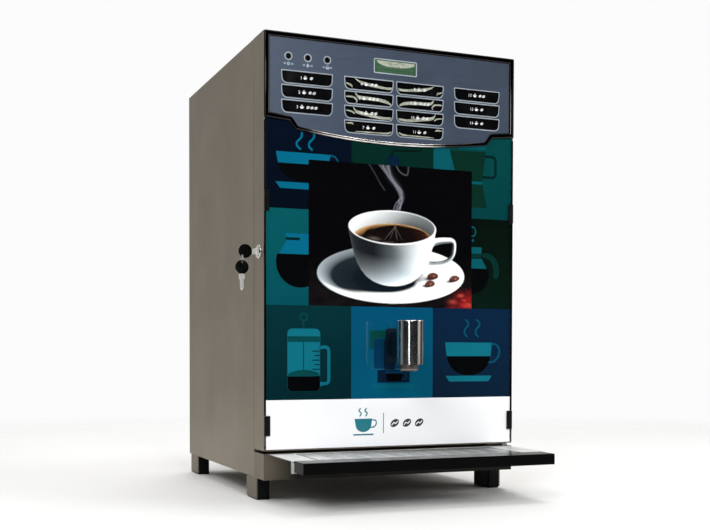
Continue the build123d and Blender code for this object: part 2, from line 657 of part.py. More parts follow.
def key_outline(key_x, key_z, corners):
    """Closed outline of a key shape centred on key_x, key_z."""
    top, side, middle, bottom = [(key_x + x, key_z + z) for x, z in corners]
    top_l, side_l, middle_l, bottom_l = [(key_x - x, key_z + z) for x, z in corners]
    Polyline(top_l, top, side)
    ThreePointArc(side, middle, bottom)
    Line(bottom, bottom_l)
    ThreePointArc(bottom_l, middle_l, side_l)
    Line(side_l, top_l)


# Control fascia with openings for the keys, round buttons and display.
FASCIA_FRONT, FASCIA_REAR = -1.4, 0.6
with BuildPart() as control_fascia:
    with BuildSketch(facing(FASCIA_FRONT)) as fascia_face:
        with BuildLine():
            curved_outline(*FASCIA)
        make_face()
        offset(amount=-0.15, kind=Kind.INTERSECTION, mode=Mode.REPLACE)
    extrude(amount=-(FASCIA_REAR - FASCIA_FRONT))
    # rib round the edge that stands on the door's front sheet
    with BuildSketch(facing(FASCIA_REAR)):
        add(fascia_face.sketch_local)
        offset(amount=-0.5, kind=Kind.INTERSECTION, mode=Mode.REPLACE)
        add(
            offset(
                fascia_face.sketch_local,
                amount=-2.6,
                kind=Kind.INTERSECTION,
                mode=Mode.PRIVATE,
            ),
            mode=Mode.SUBTRACT,
        )
    extrude(amount=-(GLASS_REAR - FASCIA_REAR))
    for x, z in KEYS:
        with BuildSketch(facing(-3)):
            with BuildLine():
                key_outline(x, z, KEY_OPENING)
            make_face()
        extrude(amount=-5, mode=Mode.SUBTRACT)
    for x, z in ROUND_BUTTONS:
        rod_y(-3, 2, x, z, 4.3, Mode.SUBTRACT)
    slab(-32.0, 34.0, -3, 2, 588.2, 606.6, Mode.SUBTRACT)
save(control_fascia, "control_fascia")

with BuildPart() as display_module:
    slab(-31.7, 33.7, -0.9, 1.0, 588.5, 606.3)
    slab(-38, 40, 0.8, 6.8, 582.5, 607.5)
save(display_module, "display_module")

# Control board with one switch behind every key, on stand-offs from the door's front sheet.
BOARD_Y, BOARD_T = 8.2, 1.6
BOARD_REAR = BOARD_Y + BOARD_T
with BuildPart() as keypad_board:
    with BuildSketch(facing(BOARD_Y)):
        with Locations((0, 555)):
            RectangleRounded(356, 126, 3)
    extrude(amount=-BOARD_T)
    for x, z in ((-150, 613), (150, 613), (-120, 504), (120, 504)):
        rod_y(DOOR_SHEET_REAR, 8.4, x, z, 3.0)
    for x, z in KEYS + ROUND_BUTTONS:
        slab(x - 3, x + 3, 7.5, 8.3, z - 3, z + 3)
        rod_y(7.3, 7.6, x, z, 1.5)
    # three blocks on the back of the board
    slab(-60, -20, BOARD_REAR, 12.4, 540, 565)
    slab(60, 84, BOARD_REAR, 13.4, 530, 554)
    slab(110, 150, BOARD_REAR, 18.0, 590, 602)
save(keypad_board, "keypad_board")

# Funnel inside the door that catches the drink and leads it through the front.
MOUTH_CENTRE, THROAT_CENTRE = (0, 27.5), (0, 22)  # x, y
THROAT_Z = 211.0
with BuildPart() as collector_funnel:
    with BuildSketch(Plane.XY.offset(235)):
        with Locations(MOUTH_CENTRE):
            RectangleRounded(60, 31, 4)
    with BuildSketch(Plane.XY.offset(THROAT_Z)):
        with Locations(THROAT_CENTRE):
            RectangleRounded(20, 20, 4)
    loft()
    with BuildSketch(Plane.XY.offset(190)):
        with Locations(THROAT_CENTRE):
            RectangleRounded(20, 20, 4)
    extrude(amount=21.2)
    # duct to the front, then the plate and web that join the funnel to the door
    rod_y(-5.8, 14, 0, DUCT_Z, 6.5)
    slab(-24, 24, DOOR_SHEET_REAR, 7.4, 214, 228)
    slab(-6, 6, 7, 15, 214, 228)
    # the cavity
    with BuildSketch(Plane.XY.offset(236)):
        with Locations(MOUTH_CENTRE):
            RectangleRounded(56.5, 27.5, 3)
    with BuildSketch(Plane.XY.offset(THROAT_Z)):
        with Locations(THROAT_CENTRE):
            RectangleRounded(15, 15, 3)
    loft(mode=Mode.SUBTRACT)
    with BuildSketch(Plane.XY.offset(193)):
        with Locations(THROAT_CENTRE):
            RectangleRounded(15, 15, 3)
    extrude(amount=19, mode=Mode.SUBTRACT)
    rod_y(-7, 20, 0, DUCT_Z, 5.0, Mode.SUBTRACT)
save(collector_funnel, "collector_funnel")

# Spout: seat plate, arm and round nozzle that hangs inside the chromed shroud.
NOZZLE_BOTTOM, NOZZLE_TOP = 154.3, 225.0
with BuildPart() as spout_nozzle:
    with BuildSketch(facing(-2.2)):
        with Locations((0, 191)):
            RectangleRounded(26, 50, 4)
    extrude(amount=-2.4)
    slab(-7.5, 7.5, NOZZLE_Y, -2, 176, 210)
    with BuildSketch(Plane.XY.offset(NOZZLE_BOTTOM)):
        with Locations((0, NOZZLE_Y)):
            Circle(14.0)
    extrude(amount=NOZZLE_TOP - NOZZLE_BOTTOM)
    fillet(spout_nozzle.edges().filter_by(GeomType.CIRCLE).sort_by(Axis.Z)[0], 3.0)
    rod_y(-6, 1, 0, DUCT_Z, 6.55, Mode.SUBTRACT)
    rod_y(NOZZLE_Y, 0, 0, DUCT_Z, 5.0, Mode.SUBTRACT)
    rod_z(150, 206, 0, NOZZLE_Y, 5.5, Mode.SUBTRACT)
save(spout_nozzle, "spout_nozzle")

# Shroud: a capped tube, open below and cut away at the back.
SHROUD_BOTTOM, SHROUD_TOP = 163.6, 226.3
SHROUD_WALL = 1.2
with BuildPart() as spout_shroud:
    with BuildSketch(Plane.XY.offset(SHROUD_BOTTOM)):
        with Locations((0, SPOUT_Y)):
            Circle(SPOUT_R)
            Circle(SPOUT_R - SHROUD_WALL, mode=Mode.SUBTRACT)
    extrude(amount=SHROUD_TOP - SHROUD_BOTTOM)
    with BuildSketch(Plane.XY.offset(SHROUD_TOP - SHROUD_WALL)):
        with Locations((0, SPOUT_Y)):
            Circle(SPOUT_R)
    extrude(amount=SHROUD_WALL)
    slab(-25, 25, SPOUT_Y + 14, SPOUT_Y + 40, 160, 230, Mode.SUBTRACT)
    round_edges = spout_shroud.edges().filter_by(GeomType.CIRCLE)
    outer_edges = round_edges.filter_by(lambda edge: abs(edge.radius - SPOUT_R) < 0.01)
    fillet(outer_edges.sort_by(Axis.Z)[-1], 1.0)
save(spout_shroud, "spout_shroud")

# Lock: barrel with a collar outside and a ring nut inside the door's left flange.
with BuildPart() as lock_body:
    rod_x(-204.4, -OUTER_X, *LOCK_AXIS, 10.0)
    chamfer(lock_body.edges().filter_by(GeomType.CIRCLE).sort_by(Axis.X)[0], 1.6)
    rod_x(-200.5, -182.2, *LOCK_AXIS, 8.5)
    rod_x(-206, -181, *LOCK_AXIS, 6.55, Mode.SUBTRACT)
    with BuildSketch(Plane.YZ.offset(-INNER_X)):
        with Locations(LOCK_AXIS):
            RegularPolygon(12.0, 6, rotation=30)
            Circle(8.55, mode=Mode.SUBTRACT)
    extrude(amount=4.5)
save(lock_body, "lock_body")

# Key in the turning plug.
BOW_R = 9.8
RING_X = -226.5  # the wire ring and the holes in both bows
with BuildPart() as lock_key:
    rod_x(-205.0, -181.9, *LOCK_AXIS, 6.5)
    rod_x(-182.0, -177.0, *LOCK_AXIS, PLUG_TIP_R)
    slab(-214, -204, LOCK_Y - 1.0, LOCK_Y + 1.0, LOCK_Z - 4.0, LOCK_Z + 4.0)
    rod_y(LOCK_Y - 1.5, LOCK_Y + 1.5, -222.3, LOCK_Z, BOW_R)
    rod_y(LOCK_Y - 3, LOCK_Y + 3, RING_X, 316.6, 1.3, Mode.SUBTRACT)
save(lock_key, "lock_key")

# Hook cam: a slot round the lock axis takes the striker pin when the key is turned.
CAM_R = 42.0
CAM_START, CAM_END = -102, -54  # angles of the sector's edges
SLOT_START, SLOT_SWEEP = -96.5, 60
SLOT_HALF_W = 3.5
with BuildPart() as lock_cam:
    with BuildSketch(Plane.YZ.offset(-181.4)):
        with Locations(LOCK_AXIS):
            Circle(9.5)
        with BuildLine():
            PolarLine(LOCK_AXIS, CAM_R, CAM_START)
            CenterArc(LOCK_AXIS, CAM_R, CAM_START, CAM_END - CAM_START)
            PolarLine(LOCK_AXIS, CAM_R, CAM_END)
        make_face()
        with BuildLine():
            slot_inner = CenterArc(LOCK_AXIS, STRIKE_R - SLOT_HALF_W, SLOT_START, SLOT_SWEEP)
            slot_outer = CenterArc(LOCK_AXIS, STRIKE_R + SLOT_HALF_W, SLOT_START, SLOT_SWEEP)
            Line(slot_inner @ 0, slot_outer @ 0)
            Line(slot_inner @ 1, slot_outer @ 1)
        make_face(mode=Mode.SUBTRACT)
        with Locations(LOCK_AXIS):
            Circle(PLUG_TIP_R + 0.02, mode=Mode.SUBTRACT)
    extrude(amount=2.0)
save(lock_cam, "lock_cam")

# Spare key on a wire ring through both bows.
SPARE_X = -227.0
BLADE_X0, BLADE_X1 = SPARE_X - 2.6, SPARE_X + 2.6
with BuildPart() as spare_key:
    rod_y(LOCK_Y - 1.3, LOCK_Y + 1.3, SPARE_X, 300.5, BOW_R)
    slab(SPARE_X - 4, SPARE_X + 4, LOCK_Y - 1.0, LOCK_Y + 1.0, 284, 292)
    slab(BLADE_X0, BLADE_X1, LOCK_Y - 1.0, LOCK_Y + 1.0, 271, 285)
    # pointed tip
    with BuildSketch(facing(LOCK_Y - 1.0)):
        with BuildLine():
            Polyline((BLADE_X0, 271.2), (BLADE_X1, 271.2), (SPARE_X, 267.8), (BLADE_X0, 271.2))
        make_face()
    extrude(amount=-2.0)
    # two notches in the blade's left edge
    for z in (273, 277.5):
        slab(-230, -228.8, LOCK_Y - 2, LOCK_Y + 2, z, z + 2, Mode.SUBTRACT)
    rod_y(LOCK_Y - 3, LOCK_Y + 3, RING_X, 307.8, 1.3, Mode.SUBTRACT)
    with Locations(Location((RING_X, LOCK_Y, 312.2), (0, 90, 0))):
        Torus(4.4, 0.5)
save(spare_key, "spare_key")

# Drink keys: trapezoid cap with a hidden flange behind the fascia and a stem to its switch.
CAP_FRONT, CAP_T = -2.4, 3.4
FLANGE_FRONT, FLANGE_REAR = 0.8, 2.2
STEM_FRONT, STEM_REAR = 2.0, 5.9
for number, (x, z) in enumerate(KEYS, start=1):
    with BuildPart() as drink_key:
        with BuildSketch(facing(CAP_FRONT)):
            with BuildLine():
                key_outline(x, z, key_corners(grow=0.0))
            make_face()
        extrude(amount=-CAP_T)
        with BuildSketch(facing(FLANGE_FRONT)):
            with BuildLine():
                key_outline(x, z, key_corners(grow=1.2))
            make_face()
        extrude(amount=-(FLANGE_REAR - FLANGE_FRONT))
        rod_y(STEM_FRONT, STEM_REAR, x, z, 2.5)
    save(drink_key, f"drink_key_{number:02d}")

# Round buttons, built like the keys.
BUTTON_NAMES = ("button_function", "button_rinse", "button_hot_water")
for (x, z), button_name in zip(ROUND_BUTTONS, BUTTON_NAMES):
    with BuildPart() as round_button:
        with BuildSketch(facing(CAP_FRONT)):
            with Locations((x, z)):
                Circle(4.0)
        extrude(amount=-CAP_T)
        fillet(round_button.edges().filter_by(GeomType.CIRCLE).sort_by(Axis.Y)[0], 0.8)
        rod_y(FLANGE_FRONT, FLANGE_REAR, x, z, 5.6)
        rod_y(STEM_FRONT, STEM_REAR, x, z, 2.0)
    save(round_button, button_name)
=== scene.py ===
"""The looks of a table-top hot drinks vending machine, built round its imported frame. Lengths in the tables are millimetres."""
import math

import bmesh
import bpy
import numpy as np
from mathutils import Matrix, Vector


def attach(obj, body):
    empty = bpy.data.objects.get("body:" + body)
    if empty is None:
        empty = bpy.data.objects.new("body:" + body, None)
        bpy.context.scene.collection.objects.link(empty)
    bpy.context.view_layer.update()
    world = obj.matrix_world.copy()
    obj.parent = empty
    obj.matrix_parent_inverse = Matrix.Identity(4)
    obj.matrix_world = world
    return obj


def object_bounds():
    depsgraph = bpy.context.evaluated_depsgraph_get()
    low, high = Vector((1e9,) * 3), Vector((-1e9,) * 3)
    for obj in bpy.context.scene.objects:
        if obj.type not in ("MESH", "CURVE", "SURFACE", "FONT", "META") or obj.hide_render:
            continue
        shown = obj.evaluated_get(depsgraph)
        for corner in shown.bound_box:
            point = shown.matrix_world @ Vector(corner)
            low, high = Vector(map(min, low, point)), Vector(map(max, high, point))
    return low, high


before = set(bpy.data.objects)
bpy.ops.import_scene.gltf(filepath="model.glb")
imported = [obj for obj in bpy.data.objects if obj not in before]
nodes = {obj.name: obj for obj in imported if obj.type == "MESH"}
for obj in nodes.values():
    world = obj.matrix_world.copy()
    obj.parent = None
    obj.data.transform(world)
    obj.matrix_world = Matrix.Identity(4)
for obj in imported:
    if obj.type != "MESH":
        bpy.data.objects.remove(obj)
cad_lo, cad_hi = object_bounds()
MM = 0.001


# ------------------------------------------------------------------------------------------------ colour and node helpers
def lin(r, g, b, gain=1.0):
    """An sRGB colour given as 0..255 in scene-linear values."""
    out = []
    for c in (r, g, b):
        c = c / 255.0
        out.append((c / 12.92 if c <= 0.04045 else ((c + 0.055) / 1.055) ** 2.4) * gain)
    return (*out, 1.0)


class Look:
    """A material under construction: one Principled surface with nodes feeding it."""

    def __init__(self, name):
        self.mat = bpy.data.materials.new(name)
        self.mat.use_nodes = True
        self.nt = self.mat.node_tree
        self.nt.nodes.clear()
        self.out = self.nt.nodes.new("ShaderNodeOutputMaterial")
        self.p = self.nt.nodes.new("ShaderNodeBsdfPrincipled")
        self.nt.links.new(self.p.outputs["BSDF"], self.out.inputs["Surface"])
        self.where = None

    def add(self, kind, **props):
        n = self.nt.nodes.new(kind)
        for k, v in props.items():
            setattr(n, k, v)
        return n

    def set(self, **values):
        for k, v in values.items():
            self.p.inputs[k.replace("_", " ")].default_value = v
        return self

    def feed(self, socket, source):
        self.nt.links.new(source, self.p.inputs[socket])
        return self

    def wire(self, node, socket, value):
        s = node.inputs[socket]
        if isinstance(value, bpy.types.NodeSocket):
            self.nt.links.new(value, s)
        else:
            s.default_value = value
        return node

    def place(self, scale=(1, 1, 1), shift=(0, 0, 0), turn=(0, 0, 0)):
        if self.where is None:
            self.where = self.add("ShaderNodeTexCoord").outputs["Object"]
        m = self.add("ShaderNodeMapping")
        self.nt.links.new(self.where, m.inputs["Vector"])
        m.inputs["Scale"].default_value = scale
        m.inputs["Location"].default_value = shift
        m.inputs["Rotation"].default_value = turn
        return m.outputs["Vector"]

    def noise(self, scale=1.0, stretch=(1, 1, 1), detail=3.0, rough=0.55, distort=0.0, shift=(0, 0, 0)):
        n = self.add("ShaderNodeTexNoise")
        self.nt.links.new(self.place(stretch, shift), n.inputs["Vector"])
        n.inputs["Scale"].default_value = scale
        n.inputs["Detail"].default_value = detail
        n.inputs["Roughness"].default_value = rough
        n.inputs["Distortion"].default_value = distort
        return n.outputs["Fac"]

    def cells(self, scale=1.0, stretch=(1, 1, 1), feature="F1", randomness=1.0):
        n = self.add("ShaderNodeTexVoronoi", feature=feature)
        self.nt.links.new(self.place(stretch), n.inputs["Vector"])
        n.inputs["Scale"].default_value = scale
        n.inputs["Randomness"].default_value = randomness
        return n.outputs["Distance"]

    def axis(self, which):
        if self.where is None:
            self.where = self.add("ShaderNodeTexCoord").outputs["Object"]
        s = self.add("ShaderNodeSeparateXYZ")
        self.nt.links.new(self.where, s.inputs[0])
        return s.outputs[which]

    def spread(self, value, a, b, c=0.0, d=1.0):
        """value from a..b is taken to c..d, and clamped."""
        n = self.add("ShaderNodeMapRange")
        self.wire(n, "Value", value)
        for k, v in (("From Min", a), ("From Max", b), ("To Min", c), ("To Max", d)):
            n.inputs[k].default_value = v
        return n.outputs["Result"]

    def maths(self, op, a, b=0.0, clamp=False):
        n = self.add("ShaderNodeMath", operation=op, use_clamp=clamp)
        for i, v in enumerate((a, b)):
            if isinstance(v, bpy.types.NodeSocket):
                self.nt.links.new(v, n.inputs[i])
            else:
                n.inputs[i].default_value = v
        return n.outputs[0]

    def mix(self, share, a, b, kind="MIX"):
        n = self.add("ShaderNodeMix", data_type="RGBA", blend_type=kind)
        for k, v in ((0, share), (6, a), (7, b)):
            if isinstance(v, bpy.types.NodeSocket):
                self.nt.links.new(v, n.inputs[k])
            else:
                n.inputs[k].default_value = v
        return n.outputs[2]

    def grey(self, level):
        n = self.add("ShaderNodeCombineColor")
        for i in range(3):
            self.nt.links.new(level, n.inputs[i])
        return n.outputs[0]

    def bump(self, height, strength=0.1, distance=0.0002, coat=False):
        n = self.add("ShaderNodeBump")
        n.inputs["Strength"].default_value = strength
        n.inputs["Distance"].default_value = distance
        self.wire(n, "Height", height)
        self.feed("Coat Normal" if coat else "Normal", n.outputs["Normal"])
        return self


def brushed(name, dark, light, grain=(4000, 4000, 18), metallic=0.8, rough=(0.34, 0.5), blotch=0.3, lines=0.5, fall=None, across=None, under_shelf=False, ends=None):
    """Brushed sheet steel: fine lines along the axis with the small scale and soft clouding."""
    k = Look(name)
    fine = k.noise(1.0, grain, 2.0, 0.6)
    broad = k.noise(1.0, tuple(g * 0.16 for g in grain), 3.0, 0.6, shift=(3, 1, 7))
    cloud = k.noise(9.0, (1, 1, 1), 3.0, 0.55, 0.4)
    streak = k.maths("ADD", k.maths("MULTIPLY", fine, lines), k.maths("MULTIPLY", broad, 1.0 - lines))
    colour = k.mix(k.spread(streak, 0.3, 0.7), dark, light)
    tinted = k.mix(k.spread(cloud, 0.35, 0.7, 0.0, blotch), colour, tuple(c * 0.82 for c in dark[:3]) + (1.0,))
    if fall:
        # duller towards the top, where less of the pale floor reaches the sheet
        level = k.spread(k.axis("Z"), fall[0], fall[1], fall[2], fall[3])
        tinted = k.mix(1.0, tinted, k.grey(level), "MULTIPLY")
    # painted light and shade: the colour is scaled along X, for a sheen that is bright at one end and fades towards the
    # other
    if across:
        level = k.spread(k.axis("X"), *across)
        tinted = k.mix(1.0, tinted, k.grey(level), "MULTIPLY")
    if under_shelf:
        # the front face stands in the shade of the shelf, deeper away from its left end
        front = k.spread(k.axis("Y"), 0.0005, 0.0015, 1.0, 0.0)
        deep = k.spread(k.axis("X"), -0.188, -0.150, 0.30, 0.93)
        tinted = k.mix(k.maths("MULTIPLY", front, deep), tinted, lin(9, 9, 10))
    # painted shade: faces turned to the sides take a dark colour, for the shade on the shelf's ends
    if ends is not None:
        side = k.add("ShaderNodeSeparateXYZ")
        k.nt.links.new(k.add("ShaderNodeNewGeometry").outputs["Normal"], side.inputs[0])
        tinted = k.mix(k.spread(k.maths("ABSOLUTE", side.outputs["X"]), 0.6, 0.8), tinted, ends)
    k.feed("Base Color", tinted)
    k.set(Metallic=metallic, Anisotropic=0.4)
    k.feed("Roughness", k.spread(k.maths("ADD", streak, k.maths("MULTIPLY", cloud, 0.4)), 0.4, 1.0, *rough))
    k.bump(streak, 0.10, 0.00006)
    return k.mat


def moulded(name, colour, rough=(0.3, 0.45), grain=900, depth=0.15, coat=0.0, wear=0.25, spec=0.5, tone=0.75):
    """Moulded plastic: a fine spark-eroded grain, faint flow clouding and paler rubbed specks."""
    k = Look(name)
    fine = k.noise(grain, (1, 1, 1), 3.0, 0.6)
    flow = k.noise(14.0, (1, 1, 0.5), 3.0, 0.5, 0.8)
    smudge = k.noise(38.0, (1, 1, 1), 4.0, 0.6)
    base = k.mix(k.spread(flow, 0.3, 0.7), colour, tuple(c * tone for c in colour[:3]) + (1.0,))
    # pale rubbed specks
    pale = tuple(min(1.0, c * 1.3 + 0.01) for c in colour[:3]) + (1.0,)
    k.feed("Base Color", k.mix(k.spread(smudge, 0.62, 0.8, 0.0, wear), base, pale))
    k.feed("Roughness", k.spread(smudge, 0.3, 0.7, *rough))
    k.set(Specular_IOR_Level=spec, Coat_Weight=coat, Coat_Roughness=0.08)
    k.bump(fine, depth, 0.00008)
    return k.mat


def polished(name, colour, rough=(0.03, 0.12), wave=0.0, metallic=1.0):
    """Plated or polished metal with wiping marks."""
    k = Look(name)
    wipe = k.noise(60.0, (1, 1, 0.35), 4.0, 0.6, 0.6)
    fine = k.noise(1.0, (700, 700, 2600), 2.0, 0.5)
    k.feed("Base Color", k.mix(k.spread(wipe, 0.35, 0.7), colour, tuple(c * 0.86 for c in colour[:3]) + (1.0,)))
    k.feed("Roughness", k.spread(k.maths("ADD", wipe, k.maths("MULTIPLY", fine, 0.3)), 0.45, 0.95, *rough))
    k.set(Metallic=metallic)
    k.bump(k.maths("ADD", fine, k.maths("MULTIPLY", wipe, wave)), 0.05, 0.00008)
    return k.mat


def print_finish(k, rough=(0.004, 0.022)):
    """The clear glass over a back-printed colour, with wiping marks and a very slight waviness."""
    smear = k.noise(22.0, (1, 1, 2.2), 4.0, 0.62, 0.9)
    dust = k.noise(420.0, (1, 1, 1), 2.0, 0.6)
    k.set(Roughness=0.6, Specular_IOR_Level=0.02, Coat_Weight=1.0, Coat_IOR=1.48)
    k.feed("Coat Roughness", k.spread(k.maths("ADD", smear, k.maths("MULTIPLY", dust, 0.25)), 0.5, 0.95, *rough))
    k.bump(k.noise(7.0, (1, 1, 1), 1.0, 0.4), 0.05, 0.002, coat=True)
    return k


def printed(name, colour, other=None, along=None, span=(0, 1), rough=(0.004, 0.022), mottle=0.35):
    """A colour printed on the back of the glass: fine dots and a soft unevenness, or a run from one colour to another."""
    k = Look(name)
    base = colour
    if other is not None:
        base = k.mix(k.spread(k.axis(along), *span), colour, other)
    dots = k.cells(1400.0, (1, 1, 1), "F1", 0.25)
    uneven = k.noise(11.0, (1, 1, 1), 3.0, 0.55, 0.5)
    low = k.mix(1.0, base, (0.80, 0.84, 0.86, 1.0), "MULTIPLY")
    shade = k.mix(k.spread(uneven, 0.35, 0.7, 0.0, mottle), base, low)
    k.feed("Base Color", k.mix(k.spread(dots, 0.25, 0.6, 0.0, 0.16), shade, low))
    print_finish(k, rough)
    return k.mat


# ------------------------------------------------------------------------------------------------ materials of the frame's nodes
SIDE_DARK, SIDE_LIGHT = lin(128, 118, 103), lin(150, 140, 124)
steel = brushed("steel_side", SIDE_DARK, SIDE_LIGHT, fall=(0.62, 0.10, 0.82, 1.0))
steel_top = brushed("steel_top", SIDE_DARK, SIDE_LIGHT, grain=(18, 4000, 4000))
steel_plinth = brushed("steel_plinth", SIDE_DARK, SIDE_LIGHT, fall=(0.05, -0.03, 0.76, 0.70), under_shelf=True)
# the shelf's ends are given a dark painted shade
steel_shelf = brushed("steel_shelf", lin(206, 207, 204), lin(232, 233, 230), grain=(16, 3600, 3600), metallic=0.5, rough=(0.3, 0.42), blotch=0.2, ends=lin(70, 64, 57))
# the grille carries a painted sheen: bright at its left end, darker towards the right
steel_grille = brushed("steel_grille", lin(196, 199, 200), lin(228, 230, 231), grain=(16, 3600, 3600), metallic=0.6, rough=(0.16, 0.28), blotch=0.15, across=(-0.17, 0.10, 1.15, 0.36))
steel_inner = brushed("steel_inner", lin(168, 170, 168), lin(196, 197, 195), grain=(900, 900, 60), metallic=0.9, rough=(0.35, 0.55), blotch=0.5)


def galvanised():
    k = Look("steel_zinc")
    spangle = k.add("ShaderNodeTexVoronoi", feature="F1")
    k.nt.links.new(k.place((1, 1, 1)), spangle.inputs["Vector"])
    spangle.inputs["Scale"].default_value = 150.0
    tone = k.add("ShaderNodeRGBToBW")
    k.nt.links.new(spangle.outputs["Color"], tone.inputs[0])
    k.feed("Base Color", k.mix(tone.outputs[0], lin(138, 142, 145), lin(186, 189, 190)))
    k.feed("Roughness", k.spread(tone.outputs[0], 0.0, 1.0, 0.28, 0.5))
    k.set(Metallic=0.9)
    k.bump(k.noise(800.0), 0.08, 0.00006)
    return k.mat


zinc = galvanised()
rubber = moulded("foot_rubber", lin(9, 9, 10), rough=(0.45, 0.65), grain=1500, depth=0.3, spec=0.12)
gloss_black = moulded("tray_plastic", lin(3, 3, 4), rough=(0.14, 0.26), grain=300, depth=0.02, wear=0.2, spec=0.04)
trim_black = moulded("trim_plastic", lin(6, 6, 8), rough=(0.25, 0.4), grain=1200, depth=0.08, wear=0.15, spec=0.15)
spout_black = moulded("spout_plastic", lin(30, 30, 31), rough=(0.12, 0.3), grain=600, depth=0.03, coat=0.3)
chrome = polished("chrome_bright", lin(222, 222, 222), (0.03, 0.10), wave=0.5)
chrome_spout = polished("chrome_spout", lin(222, 222, 222), (0.11, 0.19), wave=0.5)
chrome_lock = polished("chrome_lock", lin(205, 206, 206), (0.05, 0.16), wave=0.3)
chrome_dark = polished("chrome_dark", lin(84, 77, 73), (0.06, 0.14), wave=0.3)


def bezel_look():
    """Smoked plating, with a painted highlight: bright metal colour painted on the middle of the lower curve, where a
    lamp's reflection falls.
    """
    k = Look("bezel_chrome")
    wipe = k.noise(60.0, (1, 1, 0.35), 4.0, 0.6, 0.6)
    x, z = k.axis("X"), k.axis("Z")
    # painted highlight: a bright patch in the middle of the lower curve, broken up by the wiping marks
    painted_highlight = k.maths("MULTIPLY", k.maths("MULTIPLY", k.spread(x, -0.135, -0.085), k.spread(x, 0.045, 0.085, 1.0, 0.0)), k.spread(z, 0.505, 0.512, 1.0, 0.0))
    painted_highlight = k.maths("MULTIPLY", painted_highlight, k.spread(wipe, 0.3, 0.6, 0.55, 1.0))
    k.feed("Base Color", k.mix(painted_highlight, lin(50, 47, 47), lin(236, 232, 228)))
    k.feed("Roughness", k.spread(wipe, 0.45, 0.95, 0.06, 0.14))
    k.set(Metallic=1.0)
    k.bump(wipe, 0.05, 0.00008)
    return k.mat


bezel_chrome = bezel_look()
brass = polished("brass", lin(200, 160, 92), (0.18, 0.4), wave=0.3)
boiler_steel = polished("boiler_steel", lin(176, 174, 170), (0.16, 0.34), wave=0.6)
cast = moulded("cast_alloy", lin(150, 152, 154), rough=(0.35, 0.55), grain=700, depth=0.35, wear=0.3)
cast.node_tree.nodes["Principled BSDF"].inputs["Metallic"].default_value = 0.85
motor_paint = moulded("motor_paint", lin(40, 42, 46), rough=(0.35, 0.55), grain=500, depth=0.25, wear=0.5)
lid_blue = moulded("lid_plastic", lin(48, 74, 112), rough=(0.3, 0.5), grain=1100, depth=0.15)
auger_white = moulded("auger_plastic", lin(232, 230, 222), rough=(0.3, 0.5), grain=800, depth=0.08)
fitting_black = moulded("fitting_plastic", lin(26, 27, 29), rough=(0.35, 0.55), grain=1200, depth=0.2)
board_green = moulded("board_mask", lin(24, 86, 48), rough=(0.25, 0.4), grain=600, depth=0.05)


def cloudy(name, colour, sub=0.35, rough=(0.12, 0.3), tint=(0.9, 0.9, 0.9, 1)):
    """Translucent moulding in silicone or polypropylene."""
    k = Look(name)
    flow = k.noise(18.0, (1, 1, 0.6), 3.0, 0.5, 0.5)
    k.feed("Base Color", k.mix(k.spread(flow, 0.3, 0.7), colour, tuple(c * 0.88 for c in colour[:3]) + (1.0,)))
    k.feed("Roughness", k.spread(k.noise(60.0, detail=4.0), 0.3, 0.7, *rough))
    k.set(Subsurface_Weight=sub, Subsurface_Scale=0.004)
    k.p.inputs["Subsurface Radius"].default_value = (1.0, 0.8, 0.6)
    k.bump(k.noise(900.0), 0.04, 0.00006)
    return k.mat


canister_clear = cloudy("canister_plastic", lin(196, 202, 206), 0.15)
bowl_white = cloudy("bowl_plastic", lin(232, 231, 224), 0.3)
silicone = cloudy("silicone", lin(226, 222, 212), 0.4, (0.3, 0.5))


def panel_film():
    """The control panel's satin film: blue-grey metallic, lighter to the left, with a fine horizontal grain."""
    k = Look("panel_film")
    run = k.spread(k.axis("X"), -0.19, 0.19)
    low = k.mix(run, lin(58, 69, 86), lin(48, 60, 77))
    high = k.mix(run, lin(67, 79, 97), lin(55, 67, 85))
    grain = k.noise(1.0, (60, 2600, 2600), 2.0, 0.6)
    sparkle = k.cells(2600.0)
    base = k.mix(k.spread(grain, 0.3, 0.7), low, high)
    k.feed("Base Color", k.mix(k.spread(sparkle, 0.0, 0.35, 0.18, 0.0), base, lin(150, 162, 178)))
    k.set(Metallic=0.35, Specular_IOR_Level=0.4)
    k.feed("Roughness", k.spread(k.noise(25.0, detail=4.0), 0.3, 0.7, 0.36, 0.5))
    k.bump(grain, 0.06, 0.00005)
    return k.mat


film = panel_film()
glass_ink = printed("glass_ink", lin(2, 20, 26))
key_gloss = moulded("key_plastic", lin(5, 5, 7), rough=(0.12, 0.26), grain=500, depth=0.02, coat=0.25, wear=0.1, spec=0.25)


def by_place(name, a, b, which, at, soft=0.00008):
    """Two finishes on one moulding, changing at a plane: each is (colour, metallic, roughness)."""
    k = Look(name)
    t = k.spread(k.axis(which), at - soft, at + soft)
    wipe = k.noise(90.0, detail=4.0)
    k.feed("Base Color", k.mix(t, a[0], b[0]))
    k.feed("Metallic", k.spread(t, 0.0, 1.0, a[1], b[1]))
    r = k.spread(t, 0.0, 1.0, a[2], b[2])
    k.feed("Roughness", k.maths("ADD", r, k.spread(wipe, 0.3, 0.7, -0.03, 0.08), clamp=True))
    k.set(Coat_Weight=0.25, Coat_Roughness=0.05)
    k.bump(k.noise(700.0), 0.04, 0.00006)
    return k.mat


bow_black = (lin(10, 10, 11), 0.0, 0.07)
blade_chrome = (lin(214, 213, 210), 0.45, 0.16)
lock_key_mat = by_place("lock_key_finish", bow_black, blade_chrome, "X", -0.2124)
spare_key_mat = by_place("spare_key_finish", blade_chrome, bow_black, "Z", 0.2910)


